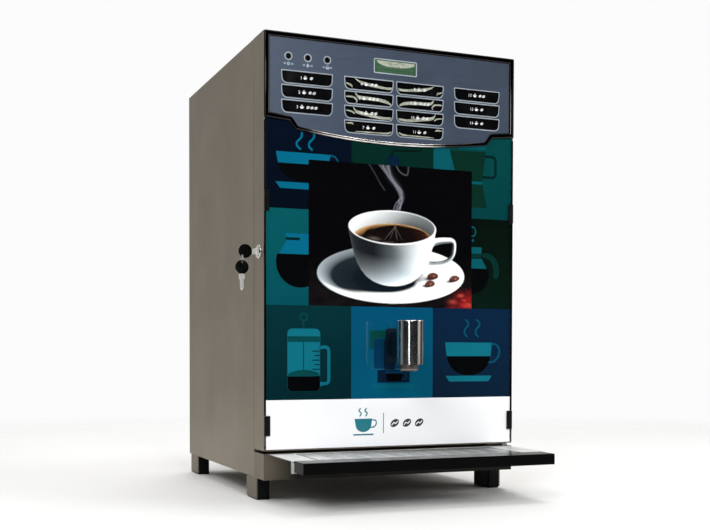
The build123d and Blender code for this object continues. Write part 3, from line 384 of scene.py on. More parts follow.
def spare_finish():
    """The spare key: plated blade, black bow, and the plated ring above it."""
    k = Look("spare_key_finish2")
    z = k.axis("Z")
    low = k.spread(z, 0.2909, 0.2911)
    ring = k.spread(z, 0.31035, 0.31050)
    x = k.axis("X")
    inbow = k.maths("MULTIPLY", low, k.maths("SUBTRACT", 1.0, ring))
    # the ring passes through the bow's hole, so a thin band about its plane stays plated
    k.feed("Base Color", k.mix(inbow, blade_chrome[0], bow_black[0]))
    k.feed("Metallic", k.spread(inbow, 0.0, 1.0, 0.45, 0.0))
    k.feed("Roughness", k.spread(k.noise(90.0, detail=4.0), 0.3, 0.7, 0.10, 0.24))
    k.set(Coat_Weight=0.25, Coat_Roughness=0.05)
    k.bump(k.noise(700.0), 0.04, 0.00006)
    return k.mat


spare_key_mat = spare_finish()
spout_two = by_place("spout_finish", (lin(126, 118, 112), 0.75, 0.22), (lin(2, 22, 36), 0.0, 0.5), "Z", 0.1634)
spout_two.node_tree.nodes["Principled BSDF"].inputs["Coat Weight"].default_value = 0.0
spout_two.node_tree.nodes["Principled BSDF"].inputs["Specular IOR Level"].default_value = 0.12

FINISH = {
    "left_side_panel": steel, "right_side_panel": steel, "back_panel": steel, "top_cover": steel_top, "base_plinth": steel_plinth,
    "door_shell": steel, "tray_shelf": steel_shelf, "drip_grille": steel_grille, "rubber_feet": rubber,
    "front_frame": zinc, "hinge_plates": zinc, "canister_shelf": zinc, "lock_cam": zinc, "panel_screws": zinc,
    "canisters": canister_clear, "canister_lids": lid_blue, "auger_left": auger_white, "auger_middle": auger_white,
    "auger_right": auger_white, "whipper_left": auger_white, "whipper_right": auger_white, "drive_motors": motor_paint,
    "mixing_bowls": bowl_white, "collector_funnel": bowl_white, "boiler": boiler_steel, "solenoid_valves": brass,
    "water_pump": cast, "power_supply": steel_inner, "hoses": silicone, "rear_fittings": fitting_black,
    "drip_tray": gloss_black, "front_glass": glass_ink, "glass_clips": trim_black, "edge_trims": chrome_dark,
    "bezel_trim": bezel_chrome, "control_fascia": film, "display_module": None, "keypad_board": board_green,
    "spout_nozzle": spout_two, "spout_shroud": chrome_spout, "lock_body": chrome_lock, "lock_key": lock_key_mat,
    "spare_key": spare_key_mat,
}


def display_look():
    k = Look("display_window")
    grain = k.noise(900.0, detail=2.0)
    base = k.mix(k.spread(k.axis("Z"), 0.588, 0.607), lin(48, 82, 57), lin(60, 94, 68))
    k.feed("Base Color", k.mix(k.spread(grain, 0.3, 0.7, 0.0, 0.2), base, lin(40, 76, 50)))
    k.set(Roughness=0.25, Coat_Weight=1.0, Coat_Roughness=0.05)
    k.set(Emission_Strength=0.06)
    k.feed("Emission Color", base)
    k.bump(grain, 0.02, 0.00005)
    return k.mat


FINISH["display_module"] = display_look()
for n in nodes:
    if n.startswith(("drink_key_", "button_")):
        FINISH[n] = key_gloss


# ------------------------------------------------------------------------------------------------ softened edges on the frame's nodes
def softener():
    """Joins the frame mesh's split corners and shades it smooth except across folds, so that a bevel can follow."""
    g = bpy.data.node_groups.new("joined_and_shaded", "GeometryNodeTree")
    g.interface.new_socket("Geometry", in_out="INPUT", socket_type="NodeSocketGeometry")
    g.interface.new_socket("Geometry", in_out="OUTPUT", socket_type="NodeSocketGeometry")
    a, z = g.nodes.new("NodeGroupInput"), g.nodes.new("NodeGroupOutput")
    merge = g.nodes.new("GeometryNodeMergeByDistance")
    merge.inputs["Distance"].default_value = 2e-6
    forget = g.nodes.new("GeometryNodeRemoveAttribute")
    forget.inputs["Name"].default_value = "custom_normal"
    smooth = g.nodes.new("GeometryNodeSetShadeSmooth")
    smooth.inputs["Shade Smooth"].default_value = True
    sharp = g.nodes.new("GeometryNodeSetShadeSmooth")
    sharp.domain = "EDGE"
    sharp.inputs["Shade Smooth"].default_value = False
    angle = g.nodes.new("GeometryNodeInputMeshEdgeAngle")
    over = g.nodes.new("FunctionNodeCompare")
    over.data_type, over.operation = "FLOAT", "GREATER_THAN"
    over.inputs[1].default_value = math.radians(32)
    g.links.new(a.outputs[0], merge.inputs["Geometry"])
    g.links.new(merge.outputs["Geometry"], forget.inputs["Geometry"])
    g.links.new(forget.outputs["Geometry"], smooth.inputs["Geometry"])
    g.links.new(angle.outputs["Unsigned Angle"], over.inputs[0])
    g.links.new(smooth.outputs["Geometry"], sharp.inputs["Geometry"])
    g.links.new(over.outputs["Result"], sharp.inputs["Selection"])
    g.links.new(sharp.outputs["Geometry"], z.inputs[0])
    return g


SOFT = softener()
BEVEL = {
    "left_side_panel": 0.5, "right_side_panel": 0.5, "top_cover": 0.5, "base_plinth": 0.45, "door_shell": 0.5,
    "tray_shelf": 0.45, "drip_tray": 0.9, "drip_grille": 0.3, "rubber_feet": 1.2, "glass_clips": 0.5, "edge_trims": 0.25,
    "bezel_trim": 2.0, "front_glass": 0.25, "control_fascia": 0.25, "canister_lids": 0.8, "lock_key": 0.35, "spare_key": 0.3,
    "lock_body": 0.3, "hinge_plates": 0.3, "lock_cam": 0.3, "power_supply": 0.5, "water_pump": 0.6, "drive_motors": 0.5,
    "rear_fittings": 0.5, "solenoid_valves": 0.4, "front_frame": 0.3, "canister_shelf": 0.3, "canisters": 0.5,
}
for n, o in nodes.items():
    o.data.materials.clear()
    o.data.materials.append(FINISH[n])
    width = BEVEL.get(n, 0.35 if n.startswith("drink_key_") else 0.0)
    if width:
        m = o.modifiers.new("join", "NODES")
        m.node_group = SOFT
        b = o.modifiers.new("edge", "BEVEL")
        b.width = width * MM
        b.segments = 2 if width < 0.8 else 3
        b.limit_method = "ANGLE"
        b.angle_limit = math.radians(35)
        b.use_clamp_overlap = True
        w = o.modifiers.new("flats", "WEIGHTED_NORMAL")
        w.mode = "FACE_AREA"
        w.weight = 100
        w.keep_sharp = True


# ------------------------------------------------------------------------------------------------ outlines
def rect(x0, x1, z0, z1):
    return [(x0, z0), (x1, z0), (x1, z1), (x0, z1)]


def round_rect(x0, x1, z0, z1, r, n=6):
    out = []
    for cx, cz, a in ((x1 - r, z0 + r, -90), (x1 - r, z1 - r, 0), (x0 + r, z1 - r, 90), (x0 + r, z0 + r, 180)):
        out += [(cx + r * math.cos(math.radians(a + 90 * i / n)), cz + r * math.sin(math.radians(a + 90 * i / n))) for i in range(n + 1)]
    return out


def oval(cx, cz, rx, rz=None, a0=0.0, a1=360.0, n=48, tilt=0.0):
    rz = rx if rz is None else rz
    full = abs(a1 - a0) >= 360
    out = []
    for i in range(n if full else n + 1):
        a = math.radians(a0 + (a1 - a0) * i / n)
        x, z = rx * math.cos(a), rz * math.sin(a)
        c, s = math.cos(math.radians(tilt)), math.sin(math.radians(tilt))
        out.append((cx + x * c - z * s, cz + x * s + z * c))
    return out


def smooth_line(points, n=10):
    """Points along a curve through the given ones."""
    p = [np.array(q, float) for q in points]
    p = [2 * p[0] - p[1]] + p + [2 * p[-1] - p[-2]]
    out = []
    for i in range(1, len(p) - 2):
        for t in np.linspace(0, 1, n, endpoint=False):
            a, b, c, d = p[i - 1], p[i], p[i + 1], p[i + 2]
            out.append(0.5 * (2 * b + (c - a) * t + (2 * a - 5 * b + 4 * c - d) * t * t + (3 * b - a - 3 * c + d) * t ** 3))
    out.append(p[-2])
    return out


def band(points, width, n=10, smooth=True, caps=True):
    """The outline of a stroke of one width, or of a width per given point."""
    widths = [width] * len(points) if not hasattr(width, "__len__") else list(width)
    line = smooth_line([(*q, w) for q, w in zip(points, widths)], n) if smooth else [np.array((*q, w), float) for q, w in zip(points, widths)]
    left, right = [], []
    for i, q in enumerate(line):
        a, b = line[max(0, i - 1)][:2], line[min(len(line) - 1, i + 1)][:2]
        d = b - a
        d = d / max(np.linalg.norm(d), 1e-9)
        normal = np.array((-d[1], d[0])) * q[2] / 2
        left.append(tuple(q[:2] + normal))
        right.append(tuple(q[:2] - normal))
    if caps:
        for side, q, sign in ((0, line[0], -1), (-1, line[-1], 1)):
            j = 1 if side == 0 else -2
            d = (q[:2] - line[j][:2])
            a0 = math.atan2(d[1], d[0])
            r = q[2] / 2
            fan = [(q[0] + r * math.cos(a0 + t), q[1] + r * math.sin(a0 + t)) for t in np.linspace(-math.pi / 2, math.pi / 2, 7)[1:-1]]
            if side == 0:
                start = fan
            else:
                end = fan
        return left + end[::-1] + right[::-1] + start[::-1]
    return left + right[::-1]


def ring(cx, cz, r, width, n=48):
    """Outer and inner outline of a ring."""
    return [oval(cx, cz, r, n=n), oval(cx, cz, r - width, n=n)]


# ------------------------------------------------------------------------------------------------ thin printed layers
LAYER = 0.034
pieces = []


def depth(layer, face=0.2):
    return face - LAYER * (layer + 1)


def lay(name, loops, y_front, y_back, material, body):
    """A thin closed plate across the machine from closed outlines in (x, z), with holes where outlines are nested."""
    curve = bpy.data.curves.new(name + "_outline", "CURVE")
    curve.dimensions = "2D"
    curve.fill_mode = "BOTH"
    curve.extrude = (y_back - y_front) / 2 * MM
    for loop in loops:
        s = curve.splines.new("POLY")
        s.points.add(len(loop) - 1)
        for p, (x, z) in zip(s.points, loop):
            p.co = (x * MM, z * MM, 0, 1)
        s.use_cyclic_u = True
    tmp = bpy.data.objects.new(name + "_tmp", curve)
    bpy.context.scene.collection.objects.link(tmp)
    dg = bpy.context.evaluated_depsgraph_get()
    mesh = bpy.data.meshes.new_from_object(tmp.evaluated_get(dg))
    bpy.data.objects.remove(tmp)
    bpy.data.curves.remove(curve)
    y = (y_front + y_back) / 2 * MM
    mesh.transform(Matrix(((1, 0, 0, 0), (0, 0, -1, y), (0, 1, 0, 0), (0, 0, 0, 1))))
    return piece(name, mesh, material, body)


def piece(name, mesh, material, body, tidy=True):
    mesh.name = name
    if tidy:
        bm = bmesh.new()
        bm.from_mesh(mesh)
        bmesh.ops.remove_doubles(bm, verts=bm.verts, dist=1e-7)
        bmesh.ops.recalc_face_normals(bm, faces=bm.faces)
        bm.to_mesh(mesh)
        bm.free()
    mesh.materials.clear()
    for m in material if isinstance(material, (list, tuple)) else [material]:
        mesh.materials.append(m)
    o = bpy.data.objects.new(name, mesh)
    bpy.context.scene.collection.objects.link(o)
    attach(o, body)
    pieces.append(o)
    return o


RIM = [(-150, 499.5), (-160, 513), (-192.3, 516.5), (-192.3, 622.4), (192.3, 622.4), (192.3, 516.5), (160, 513), (150, 499.5)]


def arc3(a, b, c, n=40):
    """Points on the circle through a, b and c, from a to c."""
    (x1, y1), (x2, y2), (x3, y3) = a, b, c
    d = 2 * (x1 * (y2 - y3) + x2 * (y3 - y1) + x3 * (y1 - y2))
    ux = ((x1 ** 2 + y1 ** 2) * (y2 - y3) + (x2 ** 2 + y2 ** 2) * (y3 - y1) + (x3 ** 2 + y3 ** 2) * (y1 - y2)) / d
    uy = ((x1 ** 2 + y1 ** 2) * (x3 - x2) + (x2 ** 2 + y2 ** 2) * (x1 - x3) + (x3 ** 2 + y3 ** 2) * (x2 - x1)) / d
    r = math.hypot(x1 - ux, y1 - uy)
    t0, t1, t2 = (math.atan2(q[1] - uy, q[0] - ux) for q in (a, b, c))
    while t1 - t0 > math.pi:
        t1 -= 2 * math.pi
    while t1 - t0 < -math.pi:
        t1 += 2 * math.pi
    while t2 - t1 > math.pi:
        t2 -= 2 * math.pi
    while t2 - t1 < -math.pi:
        t2 += 2 * math.pi
    return [(ux + r * math.cos(t0 + (t2 - t0) * i / n), uy + r * math.sin(t0 + (t2 - t0) * i / n)) for i in range(n + 1)]


TOP_ARC = arc3((151, 496.8), (0, 485.6), (-151, 496.8), 80)
BORDER_X = (-198.3, -67.5, 64.0, 198.3)
BORDER_Z = (43.2, 113.0, 247.5, 383.8)


def top_run(x0, x1):
    """The glass's upper edge between two places, from right to left."""
    outline = [(198.3, 511.8), (161, 509.6)] + TOP_ARC + [(-161, 509.6), (-198.3, 511.8)]
    xs = [q[0] for q in outline][::-1]
    zs = [q[1] for q in outline][::-1]
    inner = [q for q in outline if x0 < q[0] < x1]
    return [(x1, float(np.interp(x1, xs, zs)))] + inner + [(x0, float(np.interp(x0, xs, zs)))]


# ------------------------------------------------------------------------------------------------ colour fields behind the glass
d0 = depth(0)
CELL = {
    "navy_left": ([(BORDER_X[0], BORDER_Z[3]), (BORDER_X[1], BORDER_Z[3])] + top_run(BORDER_X[0], BORDER_X[1]), lin(1, 12, 30), lin(0, 8, 20)),
    "green_middle": ([(BORDER_X[1], BORDER_Z[3]), (BORDER_X[2], BORDER_Z[3])] + top_run(BORDER_X[1], BORDER_X[2]), lin(1, 40, 32), lin(1, 32, 26)),
    "teal_right": ([(BORDER_X[2], BORDER_Z[3]), (BORDER_X[3], BORDER_Z[3])] + top_run(BORDER_X[2], BORDER_X[3]), lin(1, 66, 67), lin(0, 58, 61)),
    "teal_left": (rect(BORDER_X[0], BORDER_X[1], BORDER_Z[2], BORDER_Z[3]), lin(3, 82, 88), lin(1, 74, 84)),
    "dark_middle": (rect(BORDER_X[1], BORDER_X[2], BORDER_Z[2], BORDER_Z[3]), lin(1, 16, 18), lin(1, 16, 18)),
    "forest_right": (rect(BORDER_X[2], BORDER_X[3], BORDER_Z[2], BORDER_Z[3]), lin(2, 12, 6), lin(3, 24, 16)),
    "pine_left": (rect(BORDER_X[0], BORDER_X[1], BORDER_Z[1], BORDER_Z[2]), lin(2, 46, 52), lin(1, 36, 42)),
    "blue_middle": (rect(BORDER_X[1], BORDER_X[2], BORDER_Z[1], BORDER_Z[2]), lin(1, 78, 112), lin(1, 84, 112)),
    "navy_right": (rect(BORDER_X[2], BORDER_X[3], BORDER_Z[1], BORDER_Z[2]), lin(6, 34, 62), lin(8, 30, 50)),
}
for name, (loop, a, b) in CELL.items():
    zs = [q[1] * MM for q in loop]
    lay("glass_field_" + name, [loop], d0, 0.2, printed("ink_" + name, b, a, "Z", (min(zs), max(zs))), "door")
white_ink = printed("ink_white", lin(250, 251, 253), mottle=0.08)
lay("glass_field_white", [rect(BORDER_X[0], BORDER_X[3], BORDER_Z[0], BORDER_Z[1])], d0, 0.2, white_ink, "door")


# ------------------------------------------------------------------------------------------------ pictograms
ink = {
    "cyan": printed("ink_cyan", lin(2, 98, 128)),
    "cyan_deep": printed("ink_cyan_deep", lin(6, 74, 100)),
    "black": printed("ink_black", lin(1, 2, 4), mottle=0.1),
    "press": printed("ink_press", lin(13, 106, 124)),
    "press_dim": printed("ink_press_dim", lin(4, 66, 70)),
    "pot": printed("ink_pot", lin(4, 42, 32)),
    "pot_line": printed("ink_pot_line", lin(1, 32, 32)),
    "crank": printed("ink_crank", lin(1, 20, 12)),
    "dome": printed("ink_dome", lin(2, 28, 48)),
    "kettle": printed("ink_kettle", lin(4, 82, 92)),
    "kettle_dim": printed("ink_kettle_dim", lin(2, 44, 42)),
    "grip": printed("ink_grip", lin(3, 44, 38)),
    "brewer": printed("ink_brewer", lin(1, 66, 58)),
    "brewer_body": printed("ink_brewer_body", lin(3, 52, 84)),
    "brewer_dark": printed("ink_brewer_dark", lin(4, 26, 48)),
    "brewer_base": printed("ink_brewer_base", lin(2, 92, 112)),
    "mark": printed("ink_mark", lin(52, 62, 72), mottle=0.1),
    "mark_teal": printed("ink_mark_teal", lin(18, 118, 132), mottle=0.1),
}


def art(name, layer, loops, which):
    return lay("glass_art_" + name, loops, depth(layer), 0.2, ink[which], "door")


# upper left: a cup on a saucer with two curls of steam
art("cup_a", 1, [[(-182, 463.3), (-100, 463.3), (-103, 447.5), (-179, 447.5)], [(-183, 421), (-99, 421), (-107, 412), (-176, 412)],
                 band([(-143.4, 491.5), (-144.5, 485), (-150.5, 478.5), (-150.8, 473), (-146, 468.6)], 3.0),
                 band([(-125, 490.5), (-126.2, 485), (-132, 478.5), (-132.6, 473), (-128.5, 468.6)], 3.0)], "cyan")
art("cup_a_bowl", 1, [[(-178.6, 446.9), (-103.4, 446.9)] + oval(-141, 446.9, 37.6, 24.5, 360, 180, 40)[1:-1]], "black")
art("cup_a_handle", 1, [band([(-99.2, 462.4), (-93, 460.5), (-88.6, 454), (-90.5, 446), (-98, 439.5)], 2.6)], "cyan_deep")
# upper middle: a hand mill
art("mill_crank", 1, [band([(-5, 469.5), (-2, 475), (4, 477.2), (20, 477.6), (38, 478.2), (43, 480), (43.4, 485)], 2.9)], "crank")
art("mill_dome", 1, [oval(-1.3, 461.5, 11.8, 8.6)], "dome")
# upper right: a stove pot
art("pot_spout", 1, [[(64.6, 489.4), (90.2, 491.3), (90.8, 484), (104, 440), (104, 436), (64.6, 436)], rect(104.6, 146.4, 436, 439.6), [(107, 491), (152, 494.2), (152.4, 489.0), (107, 487.2)]], "kettle")
art("pot_body", 1, [[(91.4, 484.2), (152.6, 485.6), (147, 440.2), (104.6, 440.2)], [(104.6, 435.4), (147, 435.4), (155, 400.5), (96, 400.5)]], "pot")
loop = [(152.8, 478.6)] + oval(163.6, 472.6, 6.0, 6.0, 90, 0, 8) + oval(163.6, 453.0, 6.0, 6.0, 0, -90, 8) + [(149.2, 447.0)]
art("pot_grip", 1, [band(loop, 4.2, smooth=False)], "pot_line")
# centre left: a round flask
art("flask_neck", 1, [[(-167, 349), (-125, 349), (-125, 320.2), (-177.5, 320.2), (-167, 337.4)]], "cyan")
art("flask_bar", 2, [band([(-166.2, 341.4), (-157, 341.4), (-148, 341.4)], 3.8)], "pot_line")
flask = [(q[0], q[1]) for q in oval(-146, 308.5, 36, 36, 162, 378, 50)]
art("flask_bowl", 1, [flask], "black")
# centre right: a drip pot
art("jug_top", 1, [rect(120, 146.4, 330.8, 340.7), [(120, 323.0), (147, 323.0), (155, 308.4), (120, 308.4)], band([(128, 371.5), (133, 370), (136, 364), (133.5, 358), (128, 356.6)], 2.1), oval(131.2, 350.6, 2.0, n=20)], "kettle")
art("jug_band", 1, [rect(120, 146.4, 323.6, 330.2)], "kettle_dim")
art("jug_bowl", 1, [[(120, 307.8), (155.4, 307.8)] + oval(127, 301, 32.2, 32.2, 12, -90, 30)], "black")
art("jug_grip", 1, [band([(151, 328.6), (158, 327.4), (165.5, 323), (170.6, 314), (172, 304), (171, 297.5)], [7, 8.4, 9.4, 9.8, 9.6, 9.0])], "grip")
# lower left: a plunger pot
body = round_rect(-165, -115.5, 124.7, 214.5, 7)
art("press_body", 1, [body, band([(-114.6, 187.4), (-108, 188.4), (-103.6, 186.4), (-102.2, 181), (-102.2, 160), (-102.2, 142), (-103.6, 137.4), (-108, 135.6), (-114.6, 136.2)], 4.6)], "press")
art("press_band", 2, [rect(-164.6, -115.9, 195.4, 203.6), [(-164.6, 147.0), (-115.9, 147.0)] + oval(-140.2, 147.0, 24.3, 8.6, 0, 180, 30)[1:-1], [q for q in band([(-140.8, 195), (-140.8, 175), (-140.8, 152)], 1.5, smooth=False)]], "press_dim")
art("press_coffee", 3, [[(-164.8, 146.6), (-164.8, 131.7)] + oval(-158, 131.9, 6.8, 7.0, 180, 270, 8)[1:] + oval(-122.5, 131.9, 6.8, 7.0, 270, 360, 8) + [(-115.7, 146.6)]], "black")
ticks = [rect(-127.5 + (3.4 if i % 2 else 0), -116.4, z - 0.7, z + 0.7) for i, z in enumerate((182.5, 176, 169.5, 163, 156.5))]
art("press_ticks", 2, ticks, "pine" if "pine" in ink else "pot_line")
art("press_knob", 1, ring(-140.6, 231.0, 6.4, 2.4) + [rect(-141.6, -139.6, 215, 224)], "press_dim")
# lower middle: a brewer
art("brewer_top", 1, [[(-38, 213), (14, 213), (14, 201.5), (-32.5, 201.5), (-32.5, 186), (-38, 186)]], "brewer")
art("brewer_body", 1, [rect(-31.8, 10, 157, 200.9)], "brewer_body")
art("brewer_column", 2, [rect(-15.5, 2, 155.4, 199.5), rect(-26, 26, 136.2, 155.0)], "brewer_dark")
art("brewer_cup", 3, [[(-12.8, 149.4), (15, 149.4), (12.5, 138.6), (-10.3, 138.6)]], "black")
art("brewer_foam", 3, [rect(-13, 15.2, 150.0, 153.4), band([(15.6, 150), (20, 149), (20.4, 143), (14.6, 141)], 1.8)], "brewer_body")
art("brewer_base", 1, [rect(-33, 33, 128.5, 133.8)], "brewer_base")
# lower right: a cup on a saucer
art("cup_b", 1, [[(85, 196), (165, 196), (162.6, 175.4), (87.6, 175.4)], [(86, 145.6), (165, 145.6), (159, 137), (92, 137)]], "press")
art("cup_b_bowl", 1, [[(88.6, 174.8), (161.6, 174.8)] + oval(125.1, 174.8, 36.5, 28.6, 360, 180, 40)[1:-1]], "black")
art("cup_b_lines", 1, [band([(165.4, 194), (173, 192.6), (178, 185), (176.4, 175), (168.6, 167.4), (159.6, 166)], 3.2),
                       band([(119.8, 230), (123.6, 226.6), (123.8, 221.4), (118.2, 215.6), (118.2, 209.4), (121.8, 205)], 2.9),
                       band([(138.8, 230), (142.6, 226.6), (142.8, 221.4), (137.2, 215.6), (137.2, 209.4), (140.8, 205)], 2.9)], "cyan_deep")
# plain mark on the white band: a cup, a rule and three beans
art("mark_cup", 1, [[(-62, 84), (-34, 84), (-35.5, 75)] + oval(-48, 75, 12.5, 10.5, 0, -180, 24)[1:] + [(-60.5, 75)],
                    band([(-33, 82), (-28.6, 81), (-27.8, 76), (-31, 72), (-35.5, 71)], 2.0), rect(-64, -32, 59.6, 61.8)], "mark_teal")
art("mark_steam", 1, [band([(-53, 99), (-55, 95.5), (-51.6, 92), (-53.6, 88)], 1.9), band([(-43.6, 99), (-45.6, 95.5), (-42.2, 92), (-44.2, 88)], 1.9)], "mark_teal")
beans = []
for bx in (2, 22, 42):
    beans.append(oval(bx, 76.5, 7.6, 5.2, tilt=34))
    beans.append(band([(bx - 4.6, 74.0), (bx - 1.4, 77.2), (bx + 1.4, 75.8), (bx + 4.6, 79.0)], 1.3))
art("mark_beans", 1, beans + [rect(-16.6, -15.6, 62, 92)], "mark")


# ------------------------------------------------------------------------------------------------ the picture of a cup
PIC = (-133.3, 129.2, 247.5, 454.6)


def seg_dist(p, q, a, b):
    """Distance in a plane from points (p, q) to the segment a-b."""
    vx, vy = b[0] - a[0], b[1] - a[1]
    t = np.clip(((p - a[0]) * vx + (q - a[1]) * vy) / (vx * vx + vy * vy), 0, 1)
    return np.hypot(p - a[0] - t * vx, q - a[1] - t * vy)


CUP = ((0, 5.6), (22, 5.8), (30, 7.8), (37, 11.5), (44, 17), (50, 24.5), (56, 35), (60.5, 48), (63.6, 60), (66, 71), (69.2, 85.4))
FOOT = ((20, 3.0), (21, 6.0))
DISH = ((0, 2.2), (38, 2.2), (62, 3.6), (88, 6.8), (106, 10.0), (117, 12.8))
COFFEE_Z, COFFEE_R = 69.0, 64.6
GRIP = ((60, 64.0, 5.2), (69.8, 67.0, 4.9), (78, 69.0, 4.5), (87.8, 70.0, 4.1), (95.5, 70.3, 3.7), (99.8, 68.4, 3.4), (101.2, 64.0, 3.2), (101.2, 57.5, 3.1),
        (100, 49.8, 3.1), (96.6, 43.4, 3.0), (91.0, 38.4, 2.9), (82.9, 34.8, 2.7), (73.1, 33.2, 2.6), (64.9, 32.6, 2.7), (54, 32.4, 2.8))
BEANS = (((65.5, 10, 8.0), 30, 0), ((61, -21, 7.2), 55, 1), ((102, -11, 12.4), 40, 2))


def profile(rho, z, line, wall):
    d = None
    for a, b in zip(line[:-1], line[1:]):
        s = seg_dist(rho, z, a, b)
        d = s if d is None else np.minimum(d, s)
    return d - wall


def grip_dist(x, y, z):
    d = None
    line = [tuple(q) for q in smooth_line([(g[0], g[1]) for g in GRIP], 3)]
    span = [i * (len(GRIP) - 1) / (len(line) - 1) for i in range(len(line))]
    size = np.interp(span, range(len(GRIP)), [g[2] for g in GRIP])
    for i, (a, b) in enumerate(zip(line[:-1], line[1:])):
        vx, vz = b[0] - a[0], b[1] - a[1]
        t = np.clip(((x - a[0]) * vx + (z - a[1]) * vz) / (vx * vx + vz * vz), 0, 1)
        r = size[i] + (size[i + 1] - size[i]) * t
        s = np.sqrt((x - a[0] - t * vx) ** 2 + (y * 0.8) ** 2 + (z - a[1] - t * vz) ** 2) - r
        d = s if d is None else np.minimum(d, s)
    return d


def scene_dist(x, y, z):
    """Distance to the nearest surface, and which it is: 0 cup, 1 dish, 2 coffee, 3 beans, 4 table."""
    rho = np.hypot(x, y)
    cup = np.minimum(profile(rho, z, CUP, 1.7), profile(rho, z, FOOT, 1.5))
    grip = grip_dist(x, y, z)
    h = np.clip(0.5 + 0.5 * (grip - cup) / 4.0, 0, 1)
    cup = grip * (1 - h) + cup * h - 4.0 * h * (1 - h)
    cup = np.where(rho < 61, np.maximum(cup, -1e9), cup)
    dish = profile(rho, z, DISH, 1.5)
    coffee = np.maximum(z - COFFEE_Z, rho - COFFEE_R)
    coffee = np.maximum(coffee, COFFEE_Z - 3.0 - z)
    best, kind = cup, np.zeros(x.shape, np.int8)
    for k, d in ((1, dish), (2, coffee), (4, z + 1.2)):
        kind = np.where(d < best, k, kind)
        best = np.minimum(best, d)
    for (cx, cy, cz), turn, _ in BEANS:
        c, s = math.cos(math.radians(turn)), math.sin(math.radians(turn))
        u, v, w = (x - cx) * c + (y - cy) * s, -(x - cx) * s + (y - cy) * c, z - cz
        q = np.sqrt((u / 9.6) ** 2 + (v / 7.0) ** 2 + (w / 5.4) ** 2)
        d = (q - 1) * 5.4 + 0.9 * np.exp(-((v + 0.6 * np.sin(u * 0.5)) / 0.8) ** 2) * (w > 0)
        kind = np.where(d < best, 3, kind)
        best = np.minimum(best, d)
    return best, kind


